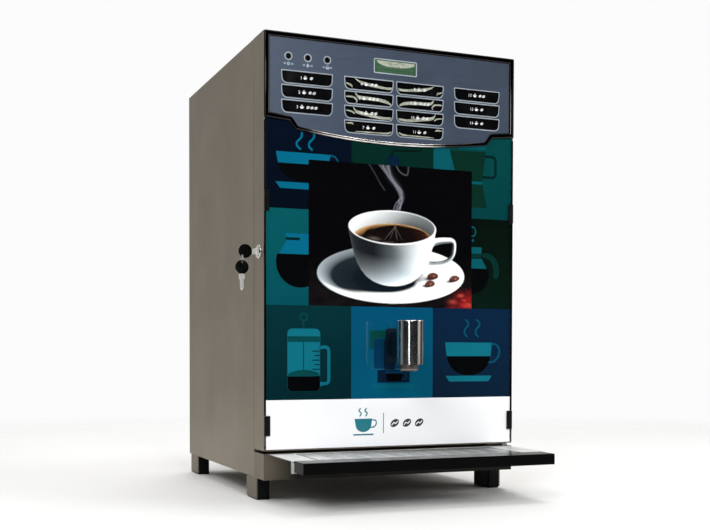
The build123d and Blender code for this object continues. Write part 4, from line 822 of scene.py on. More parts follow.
def paint_cup(nx, nz, ss):
    """Colours of the picture on an nx by nz grid, worked out by walking rays to the cup and its dish."""
    elev = math.radians(20.4)
    ce, se = math.cos(elev), math.sin(elev)
    total = np.zeros((nz, nx, 3))
    offs = [((i + 0.5) / ss - 0.5, (j + 0.5) / ss - 0.5) for i in range(ss) for j in range(ss)]
    gx = np.linspace(PIC[0], PIC[1], nx)
    gz = np.linspace(PIC[2], PIC[3], nz)
    dx, dz = gx[1] - gx[0], gz[1] - gz[0]
    light = np.array((0.60, -0.20, 0.77))
    light /= np.linalg.norm(light)
    fill = np.array((-0.35, -0.75, 0.56))
    fill /= np.linalg.norm(fill)
    view = np.array((0.0, -ce, se))
    curve = np.array([tuple(q) for q in smooth_line(CUP[2:], 6)])
    curve_z = curve[:, 1]
    curve_s = np.convolve(np.pad(np.gradient(curve[:, 0], curve[:, 1]), 3, mode="edge"), np.ones(7) / 7, "valid")
    for ox, oz in offs:
        X, V = np.meshgrid(gx + ox * dx, gz + oz * dz)
        X, V = X.ravel() + 2.0, V.ravel() - 283.0
        # start on a plane well in front of everything and walk along -view
        px, py, pz = X.copy(), -ce * 260 + se * V, se * 260 + ce * V
        t = np.zeros_like(X)
        kind = np.full(X.shape, -1, np.int8)
        live = np.arange(X.size)
        for step in range(90):
            d, k = scene_dist(px[live] - view[0] * t[live], py[live] - view[1] * t[live], pz[live] - view[2] * t[live])
            hit = d < 0.06
            kind[live[hit]] = k[hit]
            t[live] += d * 0.92
            live = live[~hit & (t[live] < 720)]
            if not live.size:
                break
        hx, hy, hz = px - view[0] * t, py - view[1] * t, pz - view[2] * t
        col = np.zeros((X.size, 3))
        on = kind >= 0
        e = 0.25
        n = np.zeros((X.size, 3))
        idx = np.where(on)[0]
        for a in range(3):
            q = [hx[idx].copy(), hy[idx].copy(), hz[idx].copy()]
            q[a] += e
            up = scene_dist(*q)[0]
            q[a] -= 2 * e
            n[idx, a] = up - scene_dist(*q)[0]
        n[idx] /= np.maximum(np.linalg.norm(n[idx], axis=1), 1e-9)[:, None]
        # the cup's wall is round: its slope comes from the smoothed outline rather than from the short straight pieces
        wall = np.where((kind == 0) & (hz > 8) & (hz < 84) & (grip_dist(hx, hy, hz) > 2.5))[0]
        r_here = np.maximum(np.hypot(hx[wall], hy[wall]), 1e-6)
        slope = np.interp(hz[wall], curve_z, curve_s)
        flip = np.where(n[wall, 0] * hx[wall] + n[wall, 1] * hy[wall] < 0, -1.0, 1.0)
        m3 = np.stack([hx[wall] / r_here, hy[wall] / r_here, -slope], 1) * flip[:, None]
        n[wall] = m3 / np.linalg.norm(m3, axis=1)[:, None]
        # soft shadow towards the lamp
        shade = np.ones(X.size)
        tt = np.full(idx.size, 2.2)
        lit = np.ones(idx.size)
        bx, by, bz = hx[idx] + n[idx, 0] * 1.2, hy[idx] + n[idx, 1] * 1.2, hz[idx] + n[idx, 2] * 1.2
        for step in range(34):
            d, _ = scene_dist(bx + light[0] * tt, by + light[1] * tt, bz + light[2] * tt)
            lit = np.minimum(lit, np.clip(2.6 * d / tt, 0, 1))
            tt += np.clip(d, 1.2, 12.0)
        shade[idx] = lit * lit * (3 - 2 * lit)
        # the dish is lit from the right as well, so the cup's shadow stays on its left half and thin at the front
        clear = np.maximum(np.clip((hx - 34) / 26, 0, 1), np.clip((-hy - 50) / 14, 0, 1) * np.clip((hx + 62) / 52, 0, 1))
        spots = sum(0.75 * np.exp(-((hx - cx + 5) ** 2 + (hy - cy + 2) ** 2) / 62.0) for (cx, cy, _z), _t, _n in BEANS)
        open_to = np.where(kind == 3, np.clip((hx - 34) / 26, 0, 1), clear * (1 - np.clip(spots, 0, 1)))
        shade = np.where((kind == 1) | (kind == 3), shade + (1 - shade) * open_to * np.where(kind == 1, 1.0, 0.8), shade)
        shade = np.where((kind == 1) & (clear > 0.3), shade * (1 - np.clip(spots, 0, 0.9)), shade)
        # how open the spot is to the room
        near = np.ones(X.size)
        for dist in (5.0, 14.0, 30.0):
            d, _ = scene_dist(hx[idx] + n[idx, 0] * dist, hy[idx] + n[idx, 1] * dist, hz[idx] + n[idx, 2] * dist)
            near[idx] *= np.clip(0.42 + 0.58 * d / dist, 0, 1)
        key = np.clip(n @ light, 0, 1) * shade
        soft = np.clip(n @ fill, 0, 1)
        sky = np.clip(n[:, 2], 0, 1)
        refl = 2 * (n @ view)[:, None] * n - view
        gloss = np.clip(refl @ light, 0, 1) ** 60 * shade
        fres = (1 - np.clip(n @ view, 0, 1)) ** 4
        white = np.array((1.0, 1.0, 1.0))
        cool = np.array((0.62, 0.78, 0.88))
        rho = np.hypot(hx, hy)
        inside = (rho < 70) & (n[:, 0] * hx + n[:, 1] * hy < 0) & (hz > 30)
        por = 2.1 * (key ** 1.3 * np.where(inside, 0.42, 1.0))[:, None] * white + 0.02 * soft[:, None] * cool + 0.03 * (sky * near)[:, None] * cool
        # light thrown up by the dish on the cup's lower wall, mostly to the right and the front
        low = np.clip(1.05 - hz / 62.0, 0, 1) ** 1.1
        up = np.clip(-n[:, 2] * 0.9 + 0.30, 0, 1) * np.clip((hx + 74) / 92, 0, 1) * low
        por += 1.55 * up[:, None] * np.array((0.84, 0.94, 1.0)) * (~inside)[:, None]
        side = np.clip(n[:, 0] * 0.9 + 0.42, 0, 1) ** 1.6
        por += 0.42 * (side * ~inside)[:, None] * np.array((0.80, 0.93, 1.0))
        well = np.clip(0.95 - (hx + 10) / 120, 0.10, 1) * np.clip((hz - 62) / 26, 0.15, 1)
        por += 0.46 * (well * inside)[:, None] * np.array((0.90, 0.97, 0.98))
        por += 0.8 * gloss[:, None] + 0.10 * (fres * near)[:, None] * cool
        dish = 2.3 * (key ** 1.4)[:, None] * white + 0.02 * (sky * near)[:, None] * cool + 0.4 * gloss[:, None]
        dish += (1 - shade)[:, None] * np.array((0.0010, 0.0045, 0.0095))
        rim = np.clip((rho - 96) / 20, 0, 1) * np.clip(0.75 - hy / 260, 0, 1)
        dish += 1.15 * rim[:, None] * np.array((0.84, 0.94, 1.0)) * np.clip(0.85 + hx / 400, 0.3, 1)[:, None]
        front = np.clip((-hy - 50) / 40, 0, 1) * np.clip(rho / 100, 0, 1)
        dish += 1.1 * front[:, None] * white * np.clip(0.8 + hx / 160, 0.25, 1)[:, None]
        ang = np.arctan2(hy, hx)
        rim_in = 63.6 - rho
        crumb = np.sin(hx * 2.3 + 1.7 * np.sin(hy * 1.9)) * np.sin(hy * 2.9 + 1.3 * np.sin(hx * 1.7)) * 0.5 + 0.5
        reach = 4.5 + 13.0 * np.clip(0.45 - hx / 90, 0, 1) * np.clip(0.6 + hy / 60, 0, 1) + 2.0 * np.sin(ang * 9 + rho * 0.4)
        foam = np.clip(1 - rim_in / np.maximum(reach, 1.0), 0, 1) * np.clip(0.55 + hy / 70 - hx / 220, 0, 1)
        foam *= 0.35 + 0.65 * crumb
        glint = np.exp(-((hx + 30 + 0.3 * hy) / 8.0) ** 2 - ((hy + 2) / 7.0) ** 2) * crumb + 0.8 * np.exp(-((hy + 14 - 0.25 * hx) / 2.4) ** 2) * np.clip(1 - np.abs(hx + 18) / 22, 0, 1)
        rays = sum(np.exp(-((hx - 4 - m * (52 - hy)) / 0.9) ** 2) * g for m, g in ((-0.30, 1.0), (0.05, 0.8), (0.20, 0.45), (-0.16, 0.5))) * np.clip((hy + 14) / 30, 0, 1) * np.clip((58 - hy) / 8, 0, 1)
        cof = np.array((0.0045, 0.0022, 0.0022)) + foam[:, None] * np.array((0.66, 0.27, 0.06)) + (foam ** 2.2)[:, None] * np.array((0.50, 0.55, 0.36))
        cof = cof + 0.20 * glint[:, None] * np.array((1.0, 0.80, 0.62)) + 0.075 * rays[:, None] * np.array((1.0, 0.84, 0.76))
        warm = np.clip((hx - 18) / 40, 0, 1) * np.clip((rho - 36) / 24, 0, 1) * np.clip(0.8 - hy / 80, 0, 1)
        cof = cof + (warm * (0.5 + 0.5 * crumb))[:, None] * np.array((0.105, 0.022, 0.010))
        bean = (0.06 + 0.75 * key + 0.25 * soft)[:, None] * np.array((0.17, 0.045, 0.03)) + 0.7 * gloss[:, None] * np.array((1.0, 0.75, 0.6))
        grain = np.sin(hx * 0.11 + 2.2 * np.sin(hy * 0.031)) * np.sin(hy * 0.07 + 1.4 * np.sin(hx * 0.05)) * 0.5 + 0.5
        table = np.array((0.0085, 0.0068, 0.0076)) * (0.35 + 0.65 * grain)[:, None] * np.clip((150 - hy) / 260, 0, 1)[:, None]
        for k, c in ((0, por), (1, dish), (2, cof), (3, bean), (4, table)):
            m = kind == k
            col[m] = c[m]
        # the cloth in the lower right corner
        PX, PZ = X - 2.0, V + 283.0
        m = (kind == 4) | (kind < 0)
        patch = np.clip((PX - 80 + (PZ - 247) * -0.55) / 40, 0, 1) * np.clip((280 - PZ) / 20, 0, 1)
        blot = np.sin(PX * 0.33 + 1.9 * np.sin(PZ * 0.27)) * np.sin(PZ * 0.42 + 1.2 * np.sin(PX * 0.21)) * 0.5 + 0.5
        red = (patch * (0.25 + 0.75 * blot))[:, None] * np.array((0.40, 0.008, 0.012))
        for sx, sz, sr, sg in ((111, 266.5, 2.4, 0.5), (97, 257, 3.0, 0.35), (124, 252, 4.0, 0.30), (117, 260, 1.6, 0.3)):
            red += (sg * np.exp(-((PX - sx) / (sr * 2.2)) ** 2 - ((PZ - sz) / sr) ** 2))[:, None] * np.array((0.85, 0.12, 0.08))
        col[m] += red[m]
        back = np.clip((PZ - 300) / 40, 0, 1)
        col[m] = col[m] * (1 - back[m])[:, None] + np.array((0.0003, 0.0004, 0.0012)) * back[m][:, None]
        # steam rising from the coffee, in front of the wall behind
        vapour = np.zeros(X.size)
        for pts, w0, w1, gain in (
            (((3, 380), (5, 393), (11, 403), (13, 411), (7, 423), (-3, 434), (-9, 444), (-12, 455)), 2.0, 4.6, 0.15),
            (((5, 388), (10, 396), (13, 404), (12, 412), (4, 424), (-5, 434), (-12, 443), (-19, 455)), 0.9, 1.6, 0.55),
            (((1, 386), (6, 397), (10, 402), (9, 412), (2, 424), (-8, 437), (-24, 455)), 0.7, 1.1, 0.34),
            (((8, 386), (11, 398), (7, 402), (11, 409), (12, 418), (3, 428), (-6, 440), (-10, 455)), 0.7, 2.0, 0.50),
            (((-2, 386), (2, 398), (7, 404), (13, 409), (8, 420), (-2, 430), (-10, 440), (-12, 455)), 0.6, 0.9, 0.40),
            (((-15, 418), (-22, 427), (-30, 440), (-41, 456)), 0.7, 0.9, 0.09),
            (((3, 455), (9, 446.5), (18, 442), (22, 444.5), (23, 455)), 0.7, 0.9, 0.22),
        ):
            line = smooth_line(pts, 8)
            for i in range(len(line) - 1):
                f = i / (len(line) - 1)
                w = w0 + (w1 - w0) * f
                dd = seg_dist(PX, PZ, line[i], line[i + 1])
                vapour = np.maximum(vapour, gain * np.exp(-((dd / w) ** 2)) * (1 - 0.30 * f))
        vapour *= np.clip((PZ - 378) / 16, 0, 1)
        col = col + 0.62 * vapour[:, None] * np.array((0.80, 0.82, 0.96))
        total += np.clip(col, 0, 1.0).reshape(nz, nx, 3)
    return total / len(offs)


def picture():
    step = 0.72
    nx, nz = int((PIC[1] - PIC[0]) / step) + 1, int((PIC[3] - PIC[2]) / step) + 1
    colours = paint_cup(nx, nz, 2)
    xs, zs = np.linspace(PIC[0], PIC[1], nx) * MM, np.linspace(PIC[2], PIC[3], nz) * MM
    y = depth(3) * MM
    verts = [(x, y, z) for z in zs for x in xs]
    faces = [(j * nx + i, j * nx + i + 1, (j + 1) * nx + i + 1, (j + 1) * nx + i) for j in range(nz - 1) for i in range(nx - 1)]
    rim = [i for i in range(nx)] + [j * nx + nx - 1 for j in range(1, nz)] + [(nz - 1) * nx + i for i in range(nx - 2, -1, -1)] + [j * nx for j in range(nz - 2, 0, -1)]
    first = len(verts)
    verts += [(verts[i][0], 0.2 * MM, verts[i][2]) for i in rim]
    m = len(rim)
    faces += [(rim[i], first + i, first + (i + 1) % m, rim[(i + 1) % m]) for i in range(m)]
    faces.append(tuple(first + i for i in range(m - 1, -1, -1)))
    mesh = bpy.data.meshes.new("glass_picture")
    mesh.from_pydata(verts, [], faces)
    mesh.update()
    flat = np.ones((len(verts), 4), np.float32)
    flat[: nx * nz, :3] = colours.reshape(-1, 3)
    flat[nx * nz:, :3] = 0.0
    attr = mesh.color_attributes.new("Picture", "FLOAT_COLOR", "POINT")
    attr.data.foreach_set("color", flat.ravel())
    k = Look("ink_picture")
    a = k.add("ShaderNodeAttribute", attribute_name="Picture")
    dots = k.cells(1400.0, (1, 1, 1), "F1", 0.25)
    shade = k.mix(k.spread(dots, 0.25, 0.6, 0.0, 0.10), a.outputs["Color"], (0, 0, 0, 1))
    k.feed("Base Color", shade)
    print_finish(k)
    return piece("glass_picture", mesh, k.mat, "door", tidy=False)


picture()


# ------------------------------------------------------------------------------------------------ control panel
KEY_COLS = (-136.1, -40.9, 40.9, 136.1)
KEY_ROWS = (568.3, 547.8, 527.1, 506.1)
KEYS = [(kx, kz) for i, kx in enumerate(KEY_COLS) for kz in KEY_ROWS[: 4 if i in (1, 2) else 3]]
silver_line = moulded("panel_silver", lin(168, 178, 186), rough=(0.3, 0.45), grain=900, depth=0.03, spec=0.5, wear=0.0)
label_white = moulded("label_white", lin(236, 238, 240), rough=(0.3, 0.42), grain=900, depth=0.03, wear=0.0)
label_pale = moulded("label_pale", lin(168, 184, 198), rough=(0.35, 0.5), grain=900, depth=0.03, wear=0.0)


def key_loop(kx, kz, g):
    a = arc3((kx + 36.6 + g, kz - 1.5), (kx + 34.4 + g * 0.7, kz - 6.2 - g * 0.7), (kx + 30.4, kz - 7.75 - g), 8)
    b = arc3((kx - 30.4, kz - 7.75 - g), (kx - 34.4 - g * 0.7, kz - 6.2 - g * 0.7), (kx - 36.6 - g, kz - 1.5), 8)
    return [(kx - 36.25 - g, kz + 7.75 + g), (kx + 36.25 + g, kz + 7.75 + g), (kx + 37.25 + g, kz + 6.75 + g)] + a + b + [(kx - 37.25 - g, kz + 6.75 + g)]


outlines = []
for kx, kz in KEYS:
    outlines += [key_loop(kx, kz, 1.75), key_loop(kx, kz, 0.36)]
for rx in (-164.2, -135.3, -105.8):
    outlines += ring(rx, 597.1, 5.9, 1.55)
outlines += [round_rect(-33.6, 35.6, 586.6, 608.2, 2.2), round_rect(-32.1, 34.1, 588.1, 606.7, 1.4)]
lay("panel_outlines", outlines, -1.46, -1.40, silver_line, "door")

# small pictograms under the round buttons: a cog, a drop and a cup, each between two bars
def cog(x, z, r):
    out = []
    for i in range(16):
        q = r if i % 2 else r * 0.72
        for t in (-0.35, 0.35):
            a = math.radians(i * 22.5 + t * 22.5)
            out.append((x + q * math.cos(a), z + q * math.sin(a)))
    return out


ZP = 586.4
marks = [cog(-164.2, ZP, 2.6), oval(-164.2, ZP, 0.9, n=14), [(-135.3, ZP + 3.0)] + oval(-135.3, ZP - 0.4, 2.1, 2.1, 35, -215, 20),
         [(-108.6, ZP + 0.9), (-103.0, ZP + 0.9), (-103.8, ZP - 2.4), (-107.8, ZP - 2.4)], band([(-102.5, ZP + 0.3), (-101.2, ZP - 0.4), (-103.1, ZP - 1.5)], 0.7),
         band([(-107.0, ZP + 3.4), (-106.4, ZP + 2.4), (-107.0, ZP + 1.4)], 0.6), band([(-104.8, ZP + 3.4), (-104.2, ZP + 2.4), (-104.8, ZP + 1.4)], 0.6)]
for bx in (-164.2, -135.3, -105.8):
    for sx in (-1, 1):
        marks += [rect(bx + sx * 5.6 - 1.6, bx + sx * 5.6 + 1.6, ZP + 0.35, ZP + 1.15), rect(bx + sx * 5.6 - 1.6, bx + sx * 5.6 + 1.6, ZP - 1.15, ZP - 0.35)]
lay("panel_pictograms", marks, -1.46, -1.40, label_pale, "door")


def figures(text, x, z, height):
    """Digits as a mesh from the built-in typeface."""
    c = bpy.data.curves.new("digits", "FONT")
    c.body = text
    c.size = height * 1.36 * MM
    c.align_x = "LEFT"
    c.extrude = 0.00003
    c.resolution_u = 3
    o = bpy.data.objects.new("digits", c)
    bpy.context.scene.collection.objects.link(o)
    dg = bpy.context.evaluated_depsgraph_get()
    mesh = bpy.data.meshes.new_from_object(o.evaluated_get(dg))
    bpy.data.objects.remove(o)
    bpy.data.curves.remove(c)
    xs = [v.co.x for v in mesh.vertices]
    shift = x * MM - min(xs)
    mesh.transform(Matrix(((1, 0, 0, shift), (0, 0, -1, 0), (0, 1, 0, z * MM), (0, 0, 0, 1))))
    return mesh, (max(xs) - min(xs)) / MM


def joined(name, meshes, material, body):
    bm = bmesh.new()
    for m in meshes:
        bm.from_mesh(m)
    out = bpy.data.meshes.new(name)
    bm.to_mesh(out)
    bm.free()
    for m in meshes:
        bpy.data.meshes.remove(m)
    return piece(name, out, material, body)


def loops_mesh(loops, y_front, y_back):
    o = lay("scratch_loops", loops, y_front, y_back, label_white, "door")
    mesh = o.data
    pieces.remove(o)
    bpy.data.objects.remove(o)
    return mesh


def cup_mark(x, z, s):
    """A small cup, its handle and a line of steam, s high."""
    return [[(x, z + s * 0.62), (x + s * 1.05, z + s * 0.62), (x + s * 0.98, z + s * 0.2), (x + s * 0.80, z), (x + s * 0.25, z), (x + s * 0.07, z + s * 0.2)],
            band([(x + s * 1.08, z + s * 0.52), (x + s * 1.33, z + s * 0.42), (x + s * 1.06, z + s * 0.18)], s * 0.12),
            band([(x + s * 0.36, z + s * 1.05), (x + s * 0.46, z + s * 0.92), (x + s * 0.36, z + s * 0.74)], s * 0.12),
            band([(x + s * 0.68, z + s * 1.05), (x + s * 0.78, z + s * 0.92), (x + s * 0.68, z + s * 0.74)], s * 0.12)]


def bean_mark(x, z, s):
    return [oval(x + s * 0.5, z + s * 0.36, s * 0.5, s * 0.34, n=20, tilt=28), band([(x + s * 0.18, z + s * 0.2), (x + s * 0.45, z + s * 0.42), (x + s * 0.55, z + s * 0.30), (x + s * 0.82, z + s * 0.52)], s * 0.10)]


STRENGTH = (1, 2, 3, 2, 3, 2, 1, 1, 3, 2, 1, 2, 1, 1)
KEY_FACE = -2.4
for i, (kx, kz) in enumerate(KEYS):
    name = "drink_key_%02d" % (i + 1)
    digits, width = figures(str(i + 1), 0, 0, 4.5)
    count = STRENGTH[i]
    total = width + 3.0 + 7.0 + 2.4 + count * 6.0
    x = kx - total / 2
    z = kz - 2.3
    for v in digits.vertices:
        v.co.x += x * MM
        v.co.z += z * MM
        v.co.y += (KEY_FACE - 0.04) * MM
    loops = cup_mark(x + width + 3.0, z, 4.7)
    for j in range(count):
        loops += bean_mark(x + width + 3.0 + 7.0 + 2.4 + j * 6.0, z + 0.5, 5.1)
    marks = loops_mesh(loops, KEY_FACE - 0.09, KEY_FACE)
    joined("label_%02d" % (i + 1), [digits, marks], label_white, name)


def swirl_look():
    k = Look("key_swirl")
    flow = k.noise(1.0, (90, 400, 260), 3.0, 0.6, 1.6)
    fleck = k.noise(500.0, detail=2.0)
    base = k.mix(k.spread(flow, 0.35, 0.65), lin(184, 189, 172), lin(118, 121, 106))
    k.feed("Base Color", k.mix(k.spread(fleck, 0.55, 0.75, 0.0, 0.4), base, lin(92, 94, 80)))
    k.feed("Roughness", k.spread(flow, 0.3, 0.7, 0.22, 0.4))
    k.set(Coat_Weight=0.4, Coat_Roughness=0.08)
    k.bump(flow, 0.1, 0.0001)
    return k.mat


swirl = swirl_look()
SWIRLS = (
    [((-22.5, 7.2), (-18, 4.4), (-10, 1.6), (2, -0.6), (14, -2.0), (26, -3.0), (36.2, -2.6)), (0.9, 2.0, 4.0, 4.4, 3.8, 3.2, 3.6)],
    [((-22, 7.2), (-19.5, 3.4), (-15, 1.0), (0, 0.4), (16, -0.4), (27, -2.2), (33.4, -5.2)), (1.4, 3.0, 4.6, 4.6, 4.6, 4.4, 2.2)],
    [((-25, 7.2), (-22.5, 3.0), (-18, 0.2), (-6, -1.8), (8, -4.0), (22, -5.4), (34.6, -4.6)), (1.0, 2.6, 4.6, 4.8, 4.4, 3.6, 3.0)],
    [((-22, -6.6), (-10, -6.5), (4, -6.4), (18, -6.3), (28, -5.9), (34.4, -3.6)), (0.7, 1.5, 1.8, 1.9, 2.6, 2.0)],
)
EXTRAS = (
    [((-35.4, -0.6), (-32, -2.2), (-28.6, -3.0), (-27, -5.6)), (1.6, 2.6, 2.8, 1.2)],
    [((-36.0, 0.6), (-30, 0.8), (-24, 0.2), (-19.6, -3.6), (-20.5, -7.0)), (1.8, 2.2, 2.6, 2.4, 1.2)],
    [((-36.0, 1.6), (-31, 1.2), (-26.5, 0.2), (-23.6, -2.0)), (1.6, 1.9, 2.4, 2.0)],
    [((-35.6, 4.8), (-32, 4.6), (-28, 5.0), (-25.6, 3.6)), (1.3, 2.0, 2.6, 1.6)],
)
def within_key(q, kx, kz):
    """The nearest place on the key's face, kept clear of its edge."""
    dz = min(7.2, max(-7.2, q[1] - kz))
    half = float(np.interp(dz, (-7.75, -7.0, -6.2, -4.0, -1.5, 6.75, 7.75), (30.4, 32.9, 34.4, 35.9, 36.6, 37.2, 36.2))) - 0.55
    return (kx + min(half, max(-half, q[0] - kx)), kz + dz)


for col, sign in ((1, 1), (2, -1)):
    for row in range(4):
        i = 3 + (col - 1) * 4 + row
        kx, kz = KEYS[i]
        loops = []
        for pts, w in (SWIRLS[row], EXTRAS[row]):
            loops.append([within_key(q, kx, kz) for q in band([(kx + sign * p[0], kz + p[1]) for p in pts], w)])
        # two pieces, because the outlines touch
        a = loops_mesh([loops[0]], KEY_FACE - 0.03, KEY_FACE)
        b = loops_mesh([loops[1]], KEY_FACE - 0.02, KEY_FACE)
        joined("swirl_%02d" % (i + 1), [a, b], swirl, "drink_key_%02d" % (i + 1))

# pale upper part of the display, and its rows of character cells
wave = [(-29.5, 605.6), (32.0, 605.6), (32.0, 602.2), (28, 600.6), (22, 598.8), (12, 597.4), (2, 597.0), (-10, 597.2), (-18, 598.4), (-24, 600.4), (-27.6, 603.0)]
wave = [tuple(q) for q in smooth_line(wave[2:], 6)]
lay("display_glare", [[(-29.0, 605.4), (31.6, 605.4)] + wave], -0.96, -0.90, swirl, "door")
cells = []
for r, z in enumerate((595.4, 590.6)):
    for c in range(16):
        x = -27.6 + c * 3.62
        cells.append(rect(x, x + 2.5, z - 1.7, z + 1.7))
cell_look = moulded("display_cells", lin(52, 88, 60), rough=(0.3, 0.4), grain=900, depth=0.02, wear=0.0)
lay("display_cells", cells, -0.93, -0.90, cell_look, "door")


# ------------------------------------------------------------------------------------------------ dark strip in the seam beside the door, standing in for the shade in the gap
def add_seam_shade_strip():
    pts = []
    for i in range(9):
        a = math.pi * i / 8
        pts.append((-199.5 - 0.42 * math.sin(a), 46.82 - 0.6 * math.cos(a)))
    pts += [(-197.4, 47.42), (-197.4, 46.22)]
    n = len(pts)
    verts = [(x * MM, y * MM, z * MM) for z in (42.0, 180.0, 330.0, 480.0, 622.0) for x, y in pts]
    faces = [tuple(range(n - 1, -1, -1)), tuple(4 * n + i for i in range(n))]
    faces += [(j * n + i, j * n + (i + 1) % n, (j + 1) * n + (i + 1) % n, (j + 1) * n + i) for j in range(4) for i in range(n)]
    # painted shade: a dark rubber strip fills the gap, where the seam is in shade
    mesh = bpy.data.meshes.new("seam_shade_strip")
    mesh.from_pydata(verts, [], faces)
    piece("seam_shade_strip", mesh, rubber, "cabinet")


add_seam_shade_strip()

# ------------------------------------------------------------------------------------------------ room, lights, camera
def stage_floor():
    mesh = bpy.data.meshes.new("studio_floor")
    bm = bmesh.new()
    bmesh.ops.create_circle(bm, cap_ends=True, segments=96, radius=9.0)
    bm.to_mesh(mesh)
    bm.free()
    mesh.transform(Matrix.Translation((0, 0, cad_lo.z - 0.00005)))
    k = Look("studio_floor")
    k.set(Roughness=0.75, Specular_IOR_Level=0.2)
    k.feed("Base Color", k.mix(k.noise(3.0, detail=2.0), lin(232, 232, 231), lin(238, 238, 237)))
    geo = k.add("ShaderNodeNewGeometry")
    length = k.add("ShaderNodeVectorMath", operation="LENGTH")
    k.nt.links.new(geo.outputs["Position"], length.inputs[0])
    fade = k.spread(length.outputs["Value"], 0.95, 2.1)
    clear = k.add("ShaderNodeBsdfTransparent")
    both = k.add("ShaderNodeMixShader")
    k.nt.links.new(fade, both.inputs[0])
    k.nt.links.new(k.p.outputs[0], both.inputs[1])
    k.nt.links.new(clear.outputs[0], both.inputs[2])
    k.nt.links.new(both.outputs[0], k.out.inputs["Surface"])
    mesh.materials.append(k.mat)
    o = bpy.data.objects.new("studio_floor", mesh)
    bpy.context.scene.collection.objects.link(o)


stage_floor()

world = bpy.data.worlds.new("studio")
bpy.context.scene.world = world
world.use_nodes = True
wt = world.node_tree
wt.nodes.clear()
w_out = wt.nodes.new("ShaderNodeOutputWorld")
seen = wt.nodes.new("ShaderNodeBackground")
seen.inputs["Color"].default_value = (0.97, 0.97, 0.97, 1)
room = wt.nodes.new("ShaderNodeBackground")
where = wt.nodes.new("ShaderNodeTexCoord")
split = wt.nodes.new("ShaderNodeSeparateXYZ")
wt.links.new(where.outputs["Generated"], split.inputs[0])
ramp = wt.nodes.new("ShaderNodeMapRange")
ramp.inputs["From Min"].default_value = -0.15
ramp.inputs["From Max"].default_value = 0.80
ramp.inputs["To Min"].default_value = 0.006
ramp.inputs["To Max"].default_value = 0.62
wt.links.new(split.outputs["Y"], ramp.inputs["Value"])
over = wt.nodes.new("ShaderNodeMapRange")
over.inputs["From Min"].default_value = 0.45
over.inputs["From Max"].default_value = 0.95
over.inputs["To Min"].default_value = 0.0
over.inputs["To Max"].default_value = 0.35
wt.links.new(split.outputs["Z"], over.inputs["Value"])
both = wt.nodes.new("ShaderNodeMath")
both.operation = "ADD"
wt.links.new(ramp.outputs[0], both.inputs[0])
wt.links.new(over.outputs[0], both.inputs[1])
wt.links.new(both.outputs[0], room.inputs["Strength"])
room.inputs["Color"].default_value = (1.0, 0.985, 0.96, 1)
path = wt.nodes.new("ShaderNodeLightPath")
choose = wt.nodes.new("ShaderNodeMixShader")
wt.links.new(path.outputs["Is Camera Ray"], choose.inputs[0])
wt.links.new(room.outputs[0], choose.inputs[1])
wt.links.new(seen.outputs[0], choose.inputs[2])
wt.links.new(choose.outputs[0], w_out.inputs["Surface"])


def area(name, at, to, size, power, colour=(1, 1, 1)):
    data = bpy.data.lights.new(name, "AREA")
    data.shape = "RECTANGLE"
    data.size, data.size_y = size
    data.energy = power
    data.color = colour
    o = bpy.data.objects.new(name, data)
    o.location = at
    o.rotation_mode = "QUATERNION"
    o.rotation_quaternion = (Vector(to) - Vector(at)).to_track_quat("-Z", "Y")
    bpy.context.scene.collection.objects.link(o)
    return o


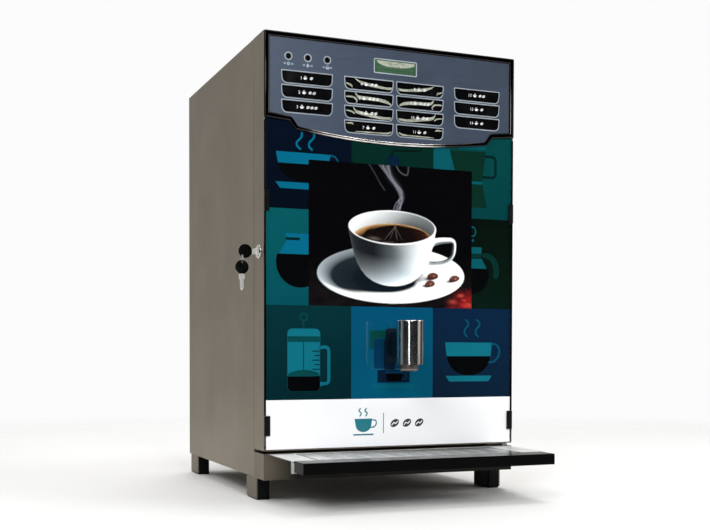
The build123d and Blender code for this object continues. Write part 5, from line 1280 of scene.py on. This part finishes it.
area("lamp_key", (-1.7, -1.5, 1.9), (0, 0.1, 0.3), (1.1, 1.1), 31)
area("lamp_fill", (2.0, -1.1, 1.1), (0, 0.1, 0.3), (0.9, 1.2), 17)
area("lamp_front", (-0.2, -2.6, 1.5), (0, 0.0, 0.3), (0.7, 0.7), 32)
area("lamp_trim", (0.66, -0.02, 2.1), (0, 0.0, 0.49), (0.4, 0.3), 5)
area("lamp_top", (0.1, 0.4, 2.5), (0, 0.2, 0.3), (2.2, 2.2), 26)
area("lamp_back", (0.6, 2.2, 1.5), (0, 0.3, 0.3), (1.4, 1.0), 16)
area("lamp_strip_a", (-1.05, -1.60, 0.75), (0, -0.05, 0.25), (0.10, 1.3), 4.2, (0.90, 0.96, 1.0))
area("lamp_strip_b", (1.55, -1.15, 0.70), (0, -0.05, 0.25), (0.90, 1.2), 1.9, (1.0, 0.92, 0.82))

cam_data = bpy.data.cameras.new("camera")
cam_data.sensor_fit = "HORIZONTAL"
cam_data.sensor_width = 36.0
cam_data.lens = 54.412
cam_data.shift_x = 0.0
cam_data.shift_y = 0.1605
cam_data.clip_start, cam_data.clip_end = 0.01, 100.0
cam = bpy.data.objects.new("camera", cam_data)
yaw, pitch, roll = math.radians(22.29992), math.radians(1.47683), math.radians(0.1137)
fwd = Vector((math.sin(yaw) * math.cos(pitch), math.cos(yaw) * math.cos(pitch), -math.sin(pitch)))
right = Vector((math.cos(yaw), -math.sin(yaw), 0))
upv = right.cross(fwd)
r2 = right * math.cos(roll) + upv * math.sin(roll)
u2 = -right * math.sin(roll) + upv * math.cos(roll)
cam.matrix_world = Matrix(((r2.x, u2.x, -fwd.x, -0.65307), (r2.y, u2.y, -fwd.y, -1.44227), (r2.z, u2.z, -fwd.z, 0.18233), (0, 0, 0, 1)))
bpy.context.scene.collection.objects.link(cam)
bpy.context.scene.camera = cam
# the lens shift belongs to this camera position only: it falls to nothing when the camera is moved elsewhere, so other views are centred
home = (Vector((-0.65307, -1.44227, 0.18233)) - Vector((-1.7, -1.5, 1.9))).length
curve = cam_data.driver_add("shift_y")
curve.driver.type = "SUM"
for i in range(12):
    away = curve.driver.variables.new()
    away.name, away.type = "away_%02d" % i, "LOC_DIFF"
    away.targets[0].id, away.targets[1].id = cam, bpy.data.objects["lamp_key"]
for m in list(curve.modifiers):
    curve.modifiers.remove(m)
# the twelve equal distances add up, so that the stops below are a few millimetres of camera travel apart
stops = ((12 * home - 0.06, 0.0), (12 * home - 0.03, 0.1605), (12 * home + 0.03, 0.1605), (12 * home + 0.06, 0.0))
curve.keyframe_points.add(len(stops))
for point, stop in zip(curve.keyframe_points, stops):
    point.co, point.interpolation = stop, "LINEAR"
curve.extrapolation = "CONSTANT"
curve.update()
bpy.context.scene.view_settings.view_transform = "Standard"
bpy.context.scene.view_settings.look = "None"

bpy.context.view_layer.update()
